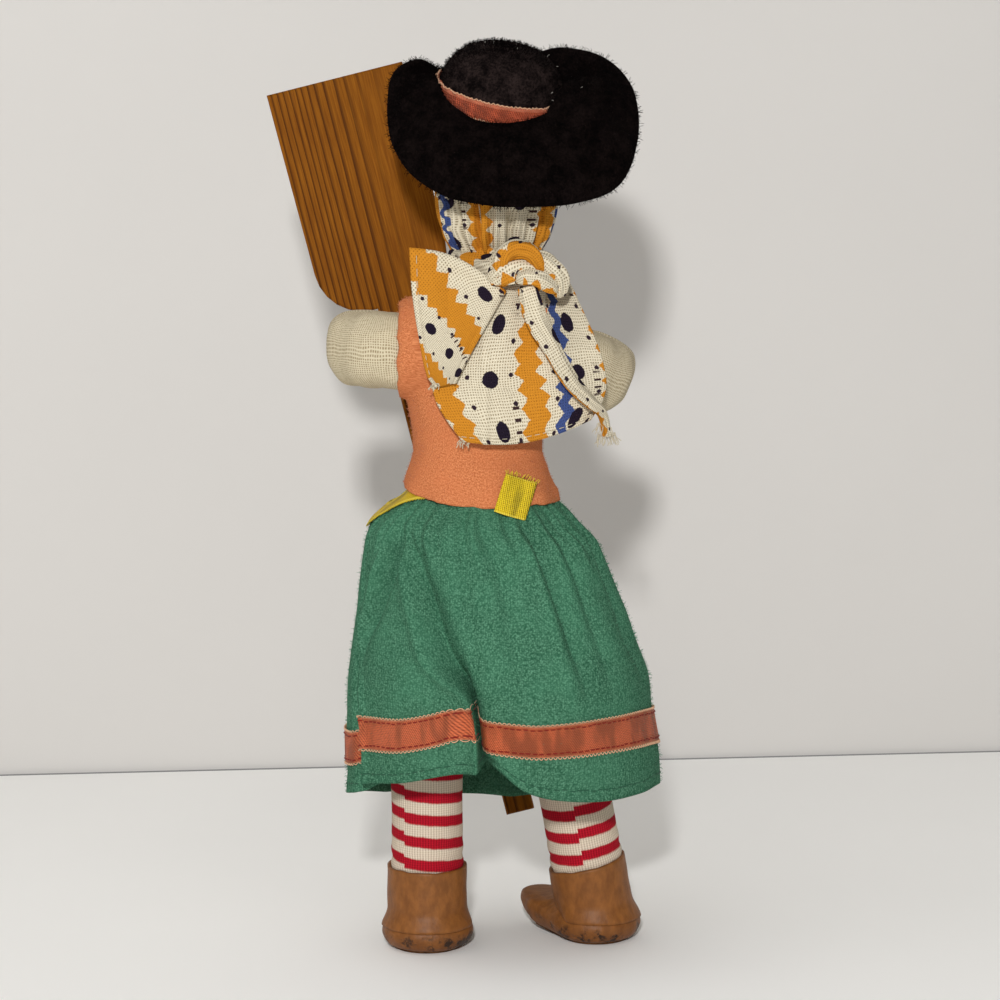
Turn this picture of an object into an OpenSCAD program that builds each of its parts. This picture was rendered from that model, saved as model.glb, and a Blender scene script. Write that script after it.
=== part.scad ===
// Cloth doll on a wire frame, standing, with a wooden peel in one hand.
// Millimetres. +X is the doll's right, +Y the way it faces, +Z up.

/* [Body] */
// Height of the shoulder wire above the floor
shoulder_z = 120.6; // [119.6:0.1:121]
// Distance of each shoulder from the body's middle
shoulder_x = 13; // [12.5:0.25:13.5]
// Radius of the stuffed upper arm
arm_r = 7.4; // [6.8:0.1:7.5]
// How far the right upper arm hangs below level
right_arm_slope = 25; // [10:1:28]
// Sideways place of the neck, where the spine wire turns upright
neck_x = 3.8; // [2:0.1:4]
// Height of the top of the neck
neck_z = 141.5; // [140.5:0.1:141.8]

/* [Head and hat] */
// Half width of the stuffed head
head_r = 11.4; // [11:0.1:11.5]
// Height of the head above its widest level
head_up = 22.5; // [21.5:0.1:22.8]
// Depth of the head below its widest level
head_down = 16; // [15.5:0.1:17]
// Radius of the hat's crown at its base
crown_r = 12.8; // [12.8:0.1:13.4]
// Height of the hat's crown
crown_h = 13.2; // [13:0.1:15]
// How far the hat leans to the doll's back
hat_tilt = 16; // [12:0.5:17]
// How far the hat dips to the doll's right
hat_roll = 7; // [0:0.5:8]

/* [Legs and shoes] */
// Radius of the stuffed leg in its stocking
leg_r = 7.2; // [6.8:0.1:7.3]
// Height of the hip wire above the floor
hip_z = 82; // [81:0.25:82.5]
// Sideways place of the upright left leg
left_leg_x = -10.4; // [-11:0.1:-10]
// Sideways place of the right ankle
right_foot_x = 24; // [22:0.25:25]
// How far the right foot stands ahead of the left
right_foot_y = 6.5; // [0:0.25:7]
// How far the right leg slants outwards
right_leg_tilt = 10; // [9:0.25:11]
// How far the right foot turns inwards
right_foot_turn = 47; // [0:1:50]
// Thickness of the foot from the floor to the ankle
foot_h = 5.6; // [5.2:0.1:6]
// Height of the top of the leather ankle tube
boot_top = 15.8; // [14:0.2:20]

/* [Clothes] */
// Height of the skirt's hem, halfway between front and back
hem_z = 31.6; // [31:0.2:34]
// How far the hem rises at the back and dips in front
hem_tilt = 6.3; // [0:0.1:6.5]
// Thickness of the woollen skirt cloth
skirt_t = 1.2; // [0.8:0.1:1.3]
// Thickness of the felt bodice
bodice_t = 0.9; // [0.6:0.1:1]
// Width of the ribbons
ribbon_w = 6.6; // [6:0.1:7]

/* [Peel] */
// Width of the peel's blade
blade_w = 28.4; // [24:0.2:29]
// Length of the peel's blade
blade_l = 48.2; // [44:0.2:50]
// Width of the peel's handle
handle_w = 6; // [5:0.1:6.2]
// Thickness of the peel
peel_t = 3.4; // [3:0.1:3.6]
// Lean of the peel from upright
peel_lean = 14; // [13:0.1:15]

/* [Hidden] */
$fn = 48;

// The origin is the floor point under the middle of the doll's box
origin_shift = [3.5, -4.7, 0];

wire_r = 0.8;
wire_gap = 0.05;
cloth_t = 0.5;
layer_gap = 0.15;
joint_gap = 0.4;
eye_r = 2.1;
eye_weld = 0.4;
ribbon_t = 0.35;

left_arm_slope = 0;
shoulder_pin = 3.6;
// The arm wires' eyes sit on the pins beside the shoulder bar
shoulder_eye_y = 1.75;
hip_bar_over = 2;
right_hip_x = right_foot_x - (hip_z - foot_h) * tan(right_leg_tilt);
spine_x = (left_leg_x + right_hip_x) / 2;

// Sections of the stuffed body: height, middle, half width, half depth
body_sections = [[84, 0, 18.6, 11], [87, 0, 17.2, 11], [90, 0, 15.2, 10.8], [93.6, 0, 12.5, 10.4],
                 [97, 0, 12, 10], [102, 0, 11.9, 9.8], [108, 0, 12.6, 10.2], [114, 0, 13.6, 10.6],
                 [120, 0.2, 14, 10.8], [126, 0.8, 13, 10.2], [130, 1.7, 10.6, 8.8],
                 [133, neck_x - 0.8, 7.2, 7], [135, neck_x, 5.6, 5.6], [neck_z, neck_x, 5.6, 5.6]];
function body_column(k) = [for (s = body_sections) [s[0], s[k]]];
function body_x(z) = lookup(z, body_column(1));
function body_rx(z) = lookup(z, body_column(2));
function body_ry(z) = lookup(z, body_column(3));

// Sections of the skirt's outside: height, middle, half width, half depth
waist_z = 93.6;
skirt_top = 97;
skirt_sections = [[hem_z, 4.9, 31.9, 27.8], [hem_z + 7, 4.8, 31.7, 28], [47, 4.3, 31.1, 27.4],
                  [55, 3.8, 30.4, 26.6], [63, 3.1, 28.8, 25.2], [71, 2.4, 26.8, 23.6],
                  [83, 0.6, 23.6, 20.2], [87, -0.6, 20.6, 17.6], [90, -0.4, 17.7, 15],
                  [waist_z, 0, 13.9, 11.8], [skirt_top, 0, 13.4, 11.4]];
// Folds of the skirt: direction at the waist and above the ribbon, depth at the waist and at the hem as
// shares of the radius, width in degrees
skirt_folds = [[238, 265, 0.14, 0.24, 7], [218, 222, 0.16, 0.03, 7], [190, 208, 0.05, 0.1, 7],
               [298, 299, 0.14, 0.07, 8], [329, 338, 0.1, 0.08, 8], [10, 10, 0.06, 0.06, 8],
               [42, 40, 0.06, 0.08, 8], [92, 88, 0.06, 0.1, 8], [122, 124, 0.05, 0.05, 8],
               [148, 146, 0.06, 0.07, 8], [172, 178, 0.06, 0.05, 8]];
fold_start = 90;
fold_full = 0.3;
fold_clear = 0.05;
fold_straight = 0.72;
// How far the hem is drawn up: direction, height
hem_lift = [[0, 2.4], [30, 1], [60, 0], [120, 0], [150, 1], [180, 2.4], [205, 1.4], [222, 0.2], [240, 1.2],
            [256, 3], [264, 5.5], [270, 5], [276, 2], [284, 0], [296, -1], [312, -0.4], [336, 1.4], [360, 2.4]];
skirt_n = 54;
function skirt_column(k) = [for (s = skirt_sections) [s[0], s[k]]];
function skirt_fall(z) = max(0, (fold_start - z) / (fold_start - hem_z));
function skirt_fold(a, z) =
    let (fall = skirt_fall(z), bend = min(1, fall / fold_straight),
         grown = max(0, min(1, (fall - fold_clear) / (fold_full - fold_clear))))
    -grown * sum_of([for (f = skirt_folds) (f[2] + (f[3] - f[2]) * fall)
                     * exp(-pow(turn_between(a, f[0] + (f[1] - f[0]) * bend) / f[4], 2))]);
function sum_of(v) = v * [for (i = v) 1];
function turn_between(a, b) = let (d = abs((a - b) % 360)) min(d, 360 - d);
function skirt_point(a, z, out) =
    let (grow = 1 + skirt_fold(a, z))
    [lookup(z, skirt_column(1)) + (lookup(z, skirt_column(2)) * grow + out) * cos(a),
     (lookup(z, skirt_column(3)) * grow + out) * sin(a),
     z - hem_tilt * skirt_fall(z) * sin(a) + lookup(a, hem_lift) * pow(skirt_fall(z), 3)];
function skirt_ring(z, out) = [for (i = [0:skirt_n - 1]) skirt_point(360 * i / skirt_n, z, out)];

// Bodice: it follows the body and spreads over the skirt's waist
bodice_top = 132.4;
bodice_n = 32;
bodice_levels = [waist_z, skirt_top, 102, 108, 114, 120, 126, 130, bodice_top];
over_skirt = skirt_t + 0.4;
function bodice_out(z) =
    layer_gap + lookup(z, [[waist_z, over_skirt], [skirt_top, over_skirt], [102, 0]]);
function body_ring(z, out, n) = [for (i = [0:n - 1])
    [body_x(z) + (body_rx(z) + out) * cos(360 * i / n), (body_ry(z) + out) * sin(360 * i / n), z]];

// Solid through a chain of rings; a closed chain makes a tube wall
module skin(rings, closed = false) {
    n = len(rings[0]);
    m = len(rings);
    sides = [for (j = [0:closed ? m - 1 : m - 2]) for (i = [0:n - 1])
        let (k = (j + 1) % m, e = (i + 1) % n)
        each [[j * n + i, k * n + e, j * n + e], [j * n + i, k * n + i, k * n + e]]];
    ends = closed ? [] : [[for (i = [0:n - 1]) i], [for (i = [n - 1:-1:0]) (m - 1) * n + i]];
    polyhedron([for (r = rings) each r], concat(sides, ends));
}

function reversed(v) = [for (i = [len(v) - 1:-1:0]) v[i]];

// Cloth panel of even thickness between a grid of points and the same grid moved along push
module panel(grid, push) {
    m = len(grid);
    n = len(grid[0]);
    near = [for (r = grid) each r];
    far = [for (p = near) p + push];
    off = m * n;
    faces = [for (j = [0:m - 2]) for (i = [0:n - 2])
        let (a = j * n + i, b = a + 1, c = a + n, d = c + 1)
        each [[a, d, b], [a, c, d], [off + a, off + b, off + d], [off + a, off + d, off + c]]];
    rows = [for (i = [0:n - 2]) let (a = i, b = (m - 1) * n + i)
        each [[a, a + 1, off + a + 1], [a, off + a + 1, off + a],
              [b, off + b + 1, b + 1], [b, off + b, off + b + 1]]];
    cols = [for (j = [0:m - 2]) let (a = j * n, b = j * n + n - 1)
        each [[a, off + a + n, a + n], [a, off + a, off + a + n],
              [b, b + n, off + b + n], [b, off + b + n, off + b]]];
    polyhedron(concat(near, far), concat(faces, rows, cols));
}

// Straight rod between two points
module rod(from, to, r) {
    d = to - from;
    translate(from)
        rotate([0, acos(d[2] / norm(d)), atan2(d[1], d[0])])
            cylinder(h = norm(d), r = r);
}

// Ring of wire round a pin along +Z
module wire_eye() {
    difference() {
        cylinder(h = 2 * wire_r, r = eye_r, center = true);
        cylinder(h = 4 * wire_r, r = wire_r + wire_gap, center = true);
    }
}

neck_pin_top = 155;
spine_top = 134;
spine_r = wire_r + 0.1;
shoulder_points = [[-shoulder_x, 0, shoulder_z], [shoulder_x, 0, shoulder_z]];

// One wire: spine, hip bar, shoulder bar with its two turned ends, and neck pin
module spine_wire() {
    color("silver") {
        rod([spine_x, 0, hip_z], [neck_x, 0, spine_top], spine_r);
        rod([neck_x, 0, spine_top - 0.4], [neck_x, 0, neck_pin_top], wire_r);
        rod([left_leg_x - hip_bar_over, 0, hip_z], [right_hip_x + hip_bar_over, 0, hip_z], wire_r);
        rod(shoulder_points[0], shoulder_points[1], wire_r);
        for (p = shoulder_points)
            translate(p - [0, wire_r, 0]) rotate([-90, 0, 0]) cylinder(h = shoulder_pin, r = wire_r);
    }
}

// Tall hole for an arm that swings up and down, from inside the body outwards
body_armhole_r = arm_r + joint_gap + 0.2;
armhole_r = 8.2;
armhole_rise = 1.7;
armhole_x = 4;
armhole_l = 20;
module armhole(p, r) {
    side = sign(p[0]);
    for (dz = [-armhole_rise, armhole_rise])
        translate([side * armhole_x, 0, p[2] + dz])
            rotate([0, 90 * side, 0]) cylinder(h = armhole_l, r = r);
    translate([side * (armhole_x + armhole_l / 2), 0, p[2]])
        cube([armhole_l, 2 * r, 2 * armhole_rise], center = true);
}

// Room in the body for the arms' and legs' round ends
module joint_sockets() {
    for (p = shoulder_points)
        translate(p) sphere(r = arm_r + joint_gap);
    for (x = [left_leg_x, right_hip_x])
        translate([x, 0, hip_z]) sphere(r = leg_r + joint_gap);
}

body_n = 26;
skin_in = 0.05;
bore_gap = 0.1;
module body_stuffing() {
    color("ivory")
        difference() {
            skin([for (s = body_sections) body_ring(s[0], -cloth_t - skin_in, body_n)]);
            joint_sockets();
            for (p = shoulder_points) armhole(p, body_armhole_r);
            rod([spine_x, 0, hip_z], [neck_x, 0, spine_top], spine_r + bore_gap);
            rod([neck_x, 0, spine_top - 1], [neck_x, 0, neck_z + 1], wire_r + bore_gap);
            rod(shoulder_points[0], shoulder_points[1], wire_r + bore_gap);
        }
}

module body_skin() {
    color("antiquewhite")
        difference() {
            skin(concat([for (s = body_sections) body_ring(s[0], 0, body_n)],
                        reversed([for (s = body_sections) body_ring(s[0], -cloth_t, body_n)])), true);
            for (p = shoulder_points) armhole(p, body_armhole_r);
        }
}

module bodice() {
    color("coral")
        difference() {
            skin(concat([for (z = bodice_levels) body_ring(z, bodice_out(z) + bodice_t, bodice_n)],
                        reversed([for (z = bodice_levels) body_ring(z, bodice_out(z), bodice_n)])), true);
            for (p = shoulder_points) armhole(p, armhole_r);
        }
}

skirt_levels = [for (s = skirt_sections) s[0]];
module skirt() {
    color("seagreen")
        skin(concat([for (z = skirt_levels) skirt_ring(z, 0)],
                    reversed([for (z = skirt_levels) skirt_ring(z, -skirt_t)])), true);
}

ribbon_low = hem_z + 8.4;
ribbon_levels = [ribbon_low, ribbon_low + ribbon_w / 2, ribbon_low + ribbon_w];
ribbon_lift = 0.25;
module skirt_ribbon() {
    color("indianred")
        skin(concat([for (z = ribbon_levels) skirt_ring(z, ribbon_lift + ribbon_t)],
                    reversed([for (z = ribbon_levels) skirt_ring(z, ribbon_lift)])), true);
}

// Yellow ribbon round the doll's left side: both ends go up to the bodice's lower edge
sash_from = 100;
sash_to = 232;
sash_step = 6;
sash_low = 86.2;
sash_w = 4;
sash_dip = [[sash_from, 3], [130, 0.6], [205, 0.4], [sash_to, 3]];
module waist_ribbon() {
    color("gold")
        panel([for (dz = [0, sash_w / 2, sash_w]) [for (a = [sash_from:sash_step:sash_to])
                  skirt_point(a, sash_low + dz + lookup(a, sash_dip), ribbon_lift + ribbon_t)]],
              [0, 0, ribbon_t]);
}

// Short yellow ribbon end sewn over the waist at the back
tab_x = 7.5;
tab_low = 89.8;
tab_slant = -0.3;
tab_l = 8;
module waist_tab() {
    color("gold")
        panel([for (z = [tab_low, waist_z, skirt_top, tab_low + tab_l])
                  [for (dx = [-ribbon_w / 2:ribbon_w / 4:ribbon_w / 2])
                  let (x = tab_x + dx + tab_slant * (tab_low + tab_l / 2 - z))
                  [x, tab_y(x, z) - ribbon_lift, z]]],
              [0, -ribbon_t, 0]);
}
function oval_y(x, rx, ry) = -ry * sqrt(1 - pow(x / rx, 2));
function bodice_y(x, z) =
    let (out = bodice_out(z) + bodice_t) oval_y(x, body_rx(z) + out, body_ry(z) + out);
function skirt_back_y(x, z) = oval_y(x, lookup(z, skirt_column(2)), lookup(z, skirt_column(3)));
function tab_y(x, z) = min(bodice_y(x, max(z, waist_z)), skirt_back_y(x, z));

// Scarf round the neck: a soft roll
collar_low = 133.2;
collar_high = 141.4;
collar_in = 5.75;
collar_out = 9.4;
module scarf_collar() {
    color("wheat")
        translate([neck_x, 0, 0])
            rotate_extrude()
                polygon([[collar_in, collar_low + 2.1], [collar_in + 2.1, collar_low],
                         [collar_out - 0.9, collar_low], [collar_out - 0.4, collar_low + 0.6],
                         [collar_out, collar_low + 2.6], [collar_out, collar_high - 1.6],
                         [collar_out - 1.4, collar_high], [collar_in, collar_high]]);
}

knot_at = [9, -13.5, 139];
knot_fn = 16;
// Each lump: place from the knot's middle, radius
knot_lumps = [[[-3, 0.4, 0.6], 3], [[1, -0.6, 1.6], 3.4], [[3.6, 0, -1.4], 3]];
module scarf_knot() {
    color("wheat")
        hull() {
            for (lump = knot_lumps)
                translate(knot_at + lump[0]) sphere(r = lump[1], $fn = knot_fn);
        }
}

// Back panel of the scarf, hanging from the neck over the bodice
cape_push = [0, cloth_t, 0];
cape_rows = 7;
cape_cols = 10;
// The cloth lies on the neck roll at the top and falls clear of the back and the arms
function collar_y(x) = -sqrt(max(1, pow(collar_out + 0.1, 2) - pow(x - neck_x, 2)));
function back_y(x, z) = lookup(z, [[103, -13.4], [120, -13.6], [134, -12.6]]) + 0.0078 * x * x;
function at_collar(z) = lookup(z, [[122, 0], [136.5, 1]]);
function cape_y(x, z, hold) = hold * collar_y(x) + (1 - hold) * back_y(x, z);
module scarf_cape() {
    color("cornsilk")
        panel([for (j = [0:cape_rows - 1]) let (t = j / (cape_rows - 1))
                  [for (i = [0:cape_cols - 1]) let (s = i / (cape_cols - 1),
                      x = (1 - t) * (-4 + 30 * s) + t * (-2 + 11 * s),
                      z = (1 - t) * (106 - 2.6 * sin(180 * s) + 4 * s) + t * 137)
                      [x, cape_y(x, z, at_collar(z)) - cloth_t, z]]],
              cape_push);
}

// Left wing of the scarf, folded over the back panel with its top corner free
flap_lift = 0.7;
module scarf_flap() {
    color("cornsilk")
        panel([for (j = [0:cape_rows - 1]) let (t = j / (cape_rows - 1))
                  [for (i = [0:cape_cols - 1]) let (s = i / (cape_cols - 1),
                      x = (1 - t) * (-8.4 + 4 * s) + t * (-13.4 + 17 * s),
                      z = (1 - t) * (113 - 1.4 * s) + t * (143.2 - 5.4 * s))
                      [x, cape_y(x, z, at_collar(z) * s * s) - 2 * cloth_t - flap_lift, z]]],
              cape_push);
}

// Twisted end of the scarf that hangs from the knot
tail_path = [[12.6, -14.6, 133.9], [16, -15, 127], [20, -14, 118], [23.6, -12.6, 110], [25.2, -12, 106]];
tail_wide = 2.3;
tail_thick = 1.3;
tail_n = 12;
module scarf_tail() {
    color("cornsilk")
        skin([for (k = [len(tail_path) - 1:-1:0]) let (p = tail_path[k])
            [for (i = [0:tail_n - 1]) let (a = 360 * i / tail_n)
                p + [tail_wide * cos(a) * 0.87, tail_thick * sin(a), tail_wide * cos(a) * 0.5]]]);
}

// Head: a stuffed ball on the neck pin
head_z = neck_z + 15;
head_low = neck_z + 0.3;
head_fullness = 2.2;
arc_steps = 16;
function head_radius(z, out) = (head_r + out) * (z > head_z
    ? pow(1 - pow((z - head_z) / (head_up + out), head_fullness), 1 / head_fullness)
    : sqrt(1 - pow((head_z - z) / (head_down + out), 2)));
function head_arc(out, low) =
    let (top = head_z + head_up + out)
    [for (i = [0:arc_steps]) let (z = i == arc_steps ? top : low + (top - low) * sin(90 * i / arc_steps))
        [i == arc_steps ? 0 : head_radius(z, out), z]];
module head_shell(inner, outer, low) {
    translate([neck_x, 0, 0])
        rotate_extrude()
            polygon(concat(head_arc(outer, low), reversed(head_arc(inner, low))));
}

module head_stuffing() {
    color("ivory")
        translate([neck_x, 0, 0])
            difference() {
                rotate_extrude()
                    polygon(concat([[0, head_low]], head_arc(-cloth_t - skin_in, head_low)));
                cylinder(h = neck_pin_top + 0.5, r = wire_r + wire_gap);
            }
}

module head_skin() {
    color("antiquewhite") head_shell(-cloth_t, 0, head_low);
}

// Face: two bead eyes, a stuffed nose and a stitched mouth
face_z = head_z - 1;
eye_x = 4;
function face_y(x, z, out) = sqrt(pow(head_radius(z, out), 2) - x * x);
module on_face(x, z, out) {
    translate([neck_x + x, face_y(x, z, out), z]) children();
}

bead_r = 0.9;
module eyes() {
    color("black")
        for (x = [-eye_x, eye_x])
            on_face(x, face_z + 2, bead_r + 0.02) sphere(r = bead_r, $fn = 24);
}

nose_r = 1.5;
module nose() {
    color("antiquewhite") on_face(0, face_z - 1.5, nose_r + 0.02) sphere(r = nose_r, $fn = 24);
}

mouth_half = 2.4;
mouth_steps = 6;
module mouth() {
    color("firebrick")
        skin([for (k = [0:mouth_steps])
            let (x = -mouth_half + 2 * mouth_half * k / mouth_steps,
                 z = face_z - 6 + 0.12 * x * x, y = face_y(x, z, 0.5))
            [for (i = [0:7]) [neck_x + x, y + 0.35 * cos(45 * i), z + 0.35 * sin(45 * i)]]]);
}

// Hood of the scarf over the head, open for the face and loose below the chin
hood_low = neck_z + 0.3;
hood_chin = head_z - 6.5;
hood_hem_r = 9.4;
hood_gap = 0.1;
face_opening_r = 9.6;
function hood_line(out) = concat([[hood_hem_r + out, hood_low], [hood_hem_r + out + 0.6, hood_low + 3.6]],
                                 head_arc(out, hood_chin));
module scarf_hood() {
    color("cornsilk")
        translate([neck_x, 0, 0])
            difference() {
                rotate_extrude()
                    polygon(concat(hood_line(hood_gap + cloth_t), reversed(hood_line(hood_gap))));
                translate([0, 0, face_z]) rotate([-90, 0, 0]) cylinder(h = 20, r = face_opening_r);
            }
}

// Hat: felt crown, a brim turned up at the sides and down at the back, and a ribbon
hat_at = [neck_x + 0.6, -0.6, 169.6];
felt_t = 1.3;
brim_n = 56;
module hat_place() {
    translate(hat_at) rotate([hat_tilt, hat_roll, 0]) children();
}

crown_shoulder = 0.62;
function crown_arc(out) = [for (i = [0:arc_steps]) let (a = 90 * i / arc_steps)
    [(crown_r + out) * pow(cos(a), crown_shoulder), (crown_h + out) * sin(a)]];
module hat_crown() {
    color("black")
        hat_place()
            rotate_extrude()
                polygon(concat(crown_arc(0), reversed(crown_arc(-felt_t))));
}

band_low = 1.4;
band_h = 4;
band_gap = 0.05;
function crown_radius(z) = crown_r * pow(cos(asin(z / crown_h)), crown_shoulder);
function band_line(out) = [for (dz = [0, band_h / 2, band_h])
    [crown_radius(band_low + dz) + out, band_low + dz]];
module hat_band() {
    color("indianred")
        hat_place()
            rotate_extrude()
                polygon(concat(band_line(band_gap + ribbon_t), reversed(band_line(band_gap))));
}

// Brim: its edge every 20 degrees from the doll's right by way of its front, as a place and the
// slope that the felt has at the crown
brim_edge = [[30.2, 1, 172, 10], [25.6, 7.5, 178, 20], [18.5, 12.5, 180.2, 28], [12.6, 16.4, 178, 22],
             [7, 19, 176, 14], [0.4, 19, 174.4, 8], [-5.4, 16.4, 172.4, 6], [-9.6, 11.6, 172, 16],
             [-12.4, 5.2, 177, 24], [-16.4, -0.4, 174, 2], [-16.9, -6.5, 165.6, -18],
             [-13.4, -13, 158, -35], [-7, -18.8, 153.2, -44], [0.6, -21.8, 151.4, -46],
             [9.4, -22.4, 150.9, -44], [19, -20.6, 151.5, -34], [27, -14.6, 154.4, -18],
             [30.6, -6, 163, -2]];
brim_turn = 360 / len(brim_edge);
brim_in = 0.35;
brim_root = 0.5;
brim_t = 2.4;
brim_bulge = 0.5;
function smooth_between(p, q, r, s, t) =
    q + 0.5 * t * (r - p + t * (2 * p - 5 * q + 4 * r - s + t * (3 * (q - r) + s - p)));
function brim_edge_at(a) =
    let (n = len(brim_edge), i = floor(a / brim_turn))
    smooth_between(brim_edge[(i + n - 1) % n], brim_edge[i % n], brim_edge[(i + 1) % n],
                   brim_edge[(i + 2) % n], a / brim_turn - i);
function hat_point(p) =
    let (y = p[1] * cos(hat_tilt) - p[2] * sin(hat_tilt), z = p[1] * sin(hat_tilt) + p[2] * cos(hat_tilt))
    hat_at + [p[0] * cos(hat_roll) + z * sin(hat_roll), y, z * cos(hat_roll) - p[0] * sin(hat_roll)];
function brim_base_at(a) =
    let (r = crown_r + brim_in) hat_point([r * cos(a), r * sin(a), brim_root]);
// Share of the width, then share of the thickness
brim_line = [[0, 0.3], [0.2, 1], [0.4, 1], [0.6, 1], [0.8, 1], [0.94, 0.9], [1, 0.45]];
function brim_point(a, k, face) =
    let (from = brim_base_at(a), e = brim_edge_at(a), to = [e[0], e[1], e[2]], d = to - from,
         out = [d[0], d[1], 0] / norm([d[0], d[1]]),
         mid = from + brim_bulge * norm(d) * (cos(e[3]) * out + sin(e[3]) * [0, 0, 1]),
         t = brim_line[k][0], along = (1 - t) * (mid - from) + t * (to - mid),
         up = cross(along, [-out[1], out[0], 0]), half = face * brim_line[k][1] * brim_t / 2)
    (1 - t) * (1 - t) * from + 2 * t * (1 - t) * mid + t * t * to + half * up / norm(up);
function brim_ring(k, face) = [for (i = [0:brim_n - 1]) brim_point(360 * i / brim_n, k, face)];
module hat_brim() {
    color("black")
        skin(concat([for (k = [0:len(brim_line) - 1]) brim_ring(k, -1)],
                    reversed([for (k = [0:len(brim_line) - 1]) brim_ring(k, 1)])), true);
}

// Arm: a stuffed tube bent forward at the elbow, drawn in the plane of its bend
elbow_r = 8;
ball_open = 5.2;
arm_n = 14;
elbow_slim = 0.6;
forearm_r = 6.4;
arc_step = 15;
// Each step: distance outwards, distance forwards, heading, radius, share of the forearm's drop
function arm_steps(straight, bend, reach, wrist_r, hand_r) = concat(
    [for (u = [-ball_open, -3.6, -1.8, 0]) [u, 0, 0, sqrt(arm_r * arm_r - u * u), 0]],
    [for (a = [0:arc_step:bend])
        [straight + elbow_r * sin(a), elbow_r * (1 - cos(a)), a, arm_r - elbow_slim * a / bend, 0]],
    [for (f = [[0.45, forearm_r, 0.5], [0.62, wrist_r, 0.7], [0.8, 0.9 * hand_r, 0.85]])
        forearm_step(straight, bend, f[0] * reach, f[1], f[2])],
    [for (f = [[0, 1], [0.5, 0.87], [0.85, 0.53], [1, 0.05]])
        forearm_step(straight, bend, reach + f[0] * hand_r, hand_r * f[1], 1)]);
function forearm_step(straight, bend, along, r, drop) =
    [straight + elbow_r * sin(bend) + along * cos(bend),
     elbow_r * (1 - cos(bend)) + along * sin(bend), bend, r, drop];

function arm_ring(steps, k, out, side, slope, drop, n) =
    let (s = steps[k], r = max(0.02, s[3] + out), d = [side * cos(slope), 0, -sin(slope)],
         w = cross(d, [0, 1, 0]), at = [side * shoulder_x, 0, shoulder_z])
    [for (i = [0:n - 1]) let (a = 360 * i / n, c = r * cos(a))
        at + (s[0] - c * sin(s[2])) * d + (s[1] + c * cos(s[2])) * [0, 1, 0] + r * sin(a) * w
           - [0, 0, drop * s[4]]];

left_steps = arm_steps(2.2, 110, 21.6, 5.6, 6.6);
right_steps = arm_steps(3.5, 105, 13, 5.6, 6.2);
left_drop = 3.5;
right_drop = 5;

// Grip: middle of the left hand, where the peel's handle passes through
function arm_point(steps, k, side, slope, drop) =
    let (s = steps[k])
    [side * (shoulder_x + s[0] * cos(slope)), s[1], shoulder_z - s[0] * sin(slope) - drop * s[4]];
grip = arm_point(left_steps, len(left_steps) - 4, -1, left_arm_slope, left_drop);
grip_gap = 0.1;
module grip_slot() {
    translate(grip)
        rotate([0, -peel_lean, 0])
            cube([handle_w + 2 * grip_gap, peel_t + 2 * grip_gap, 40], center = true);
}

tip_gap = 0.7;
module arm_skin(steps, side, slope, drop) {
    last = len(steps) - 1;
    color("antiquewhite")
        skin(concat(
            [for (k = [last - 1:-1:0]) let (inset = cloth_t + (k == last - 1 ? tip_gap : 0))
                arm_ring(steps, k, -inset, side, slope, drop, arm_n)],
            [for (k = [0:last]) arm_ring(steps, k, 0, side, slope, drop, arm_n)]));
}

// Stuffing: as the skin's inside, with a cone at the shoulder and a hole along the wire
channel_r = wire_r + 0.25;
function channel(k) = lookup(k, [[0, 4.4], [3, 3.7], [4, 3.5], [5, 2], [6, channel_r]]);
function with_radius(steps, r) = [for (s = steps) [s[0], s[1], s[2], r, s[4]]];
function channel_ring(steps, k, side, slope, drop) =
    arm_ring(with_radius(steps, channel(k)), k, 0, side, slope, drop, arm_n);
module arm_stuffing(steps, side, slope, drop) {
    last = len(steps) - 4;
    color("ivory")
        skin(concat([for (k = [0:last]) arm_ring(steps, k, -cloth_t - skin_in, side, slope, drop, arm_n)],
                    reversed([for (k = [0:last]) channel_ring(steps, k, side, slope, drop)])), true);
}

// Arm wire: from its eye on the shoulder pin to the palm
wire_n = 8;
module arm_wire(steps, side, slope, drop, end) {
    first = 5;
    rings = [for (k = [first:end])
        arm_ring(with_radius(steps, wire_r), k, 0, side, slope, drop, wire_n)];
    foot = arm_point(steps, first, side, slope, drop);
    at = [side * shoulder_x, shoulder_eye_y, shoulder_z];
    along = (foot - at) / norm(foot - at);
    color("silver") {
        skin(rings);
        rod(at + (eye_r - eye_weld) * along, foot + 0.3 * along, wire_r - 0.05);
        translate(at) rotate([90, 0, 0]) wire_eye();
    }
}

wire_end = 13;
module left_arm_wire() { arm_wire(left_steps, -1, left_arm_slope, left_drop, wire_end); }
module left_arm_stuffing() {
    difference() {
        arm_stuffing(left_steps, -1, left_arm_slope, left_drop);
        grip_slot();
    }
}
module left_arm_skin() {
    difference() {
        arm_skin(left_steps, -1, left_arm_slope, left_drop);
        grip_slot();
    }
}
module right_arm_wire() { arm_wire(right_steps, 1, right_arm_slope, right_drop, wire_end); }
module right_arm_stuffing() { arm_stuffing(right_steps, 1, right_arm_slope, right_drop); }
module right_arm_skin() { arm_skin(right_steps, 1, right_arm_slope, right_drop); }

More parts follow.
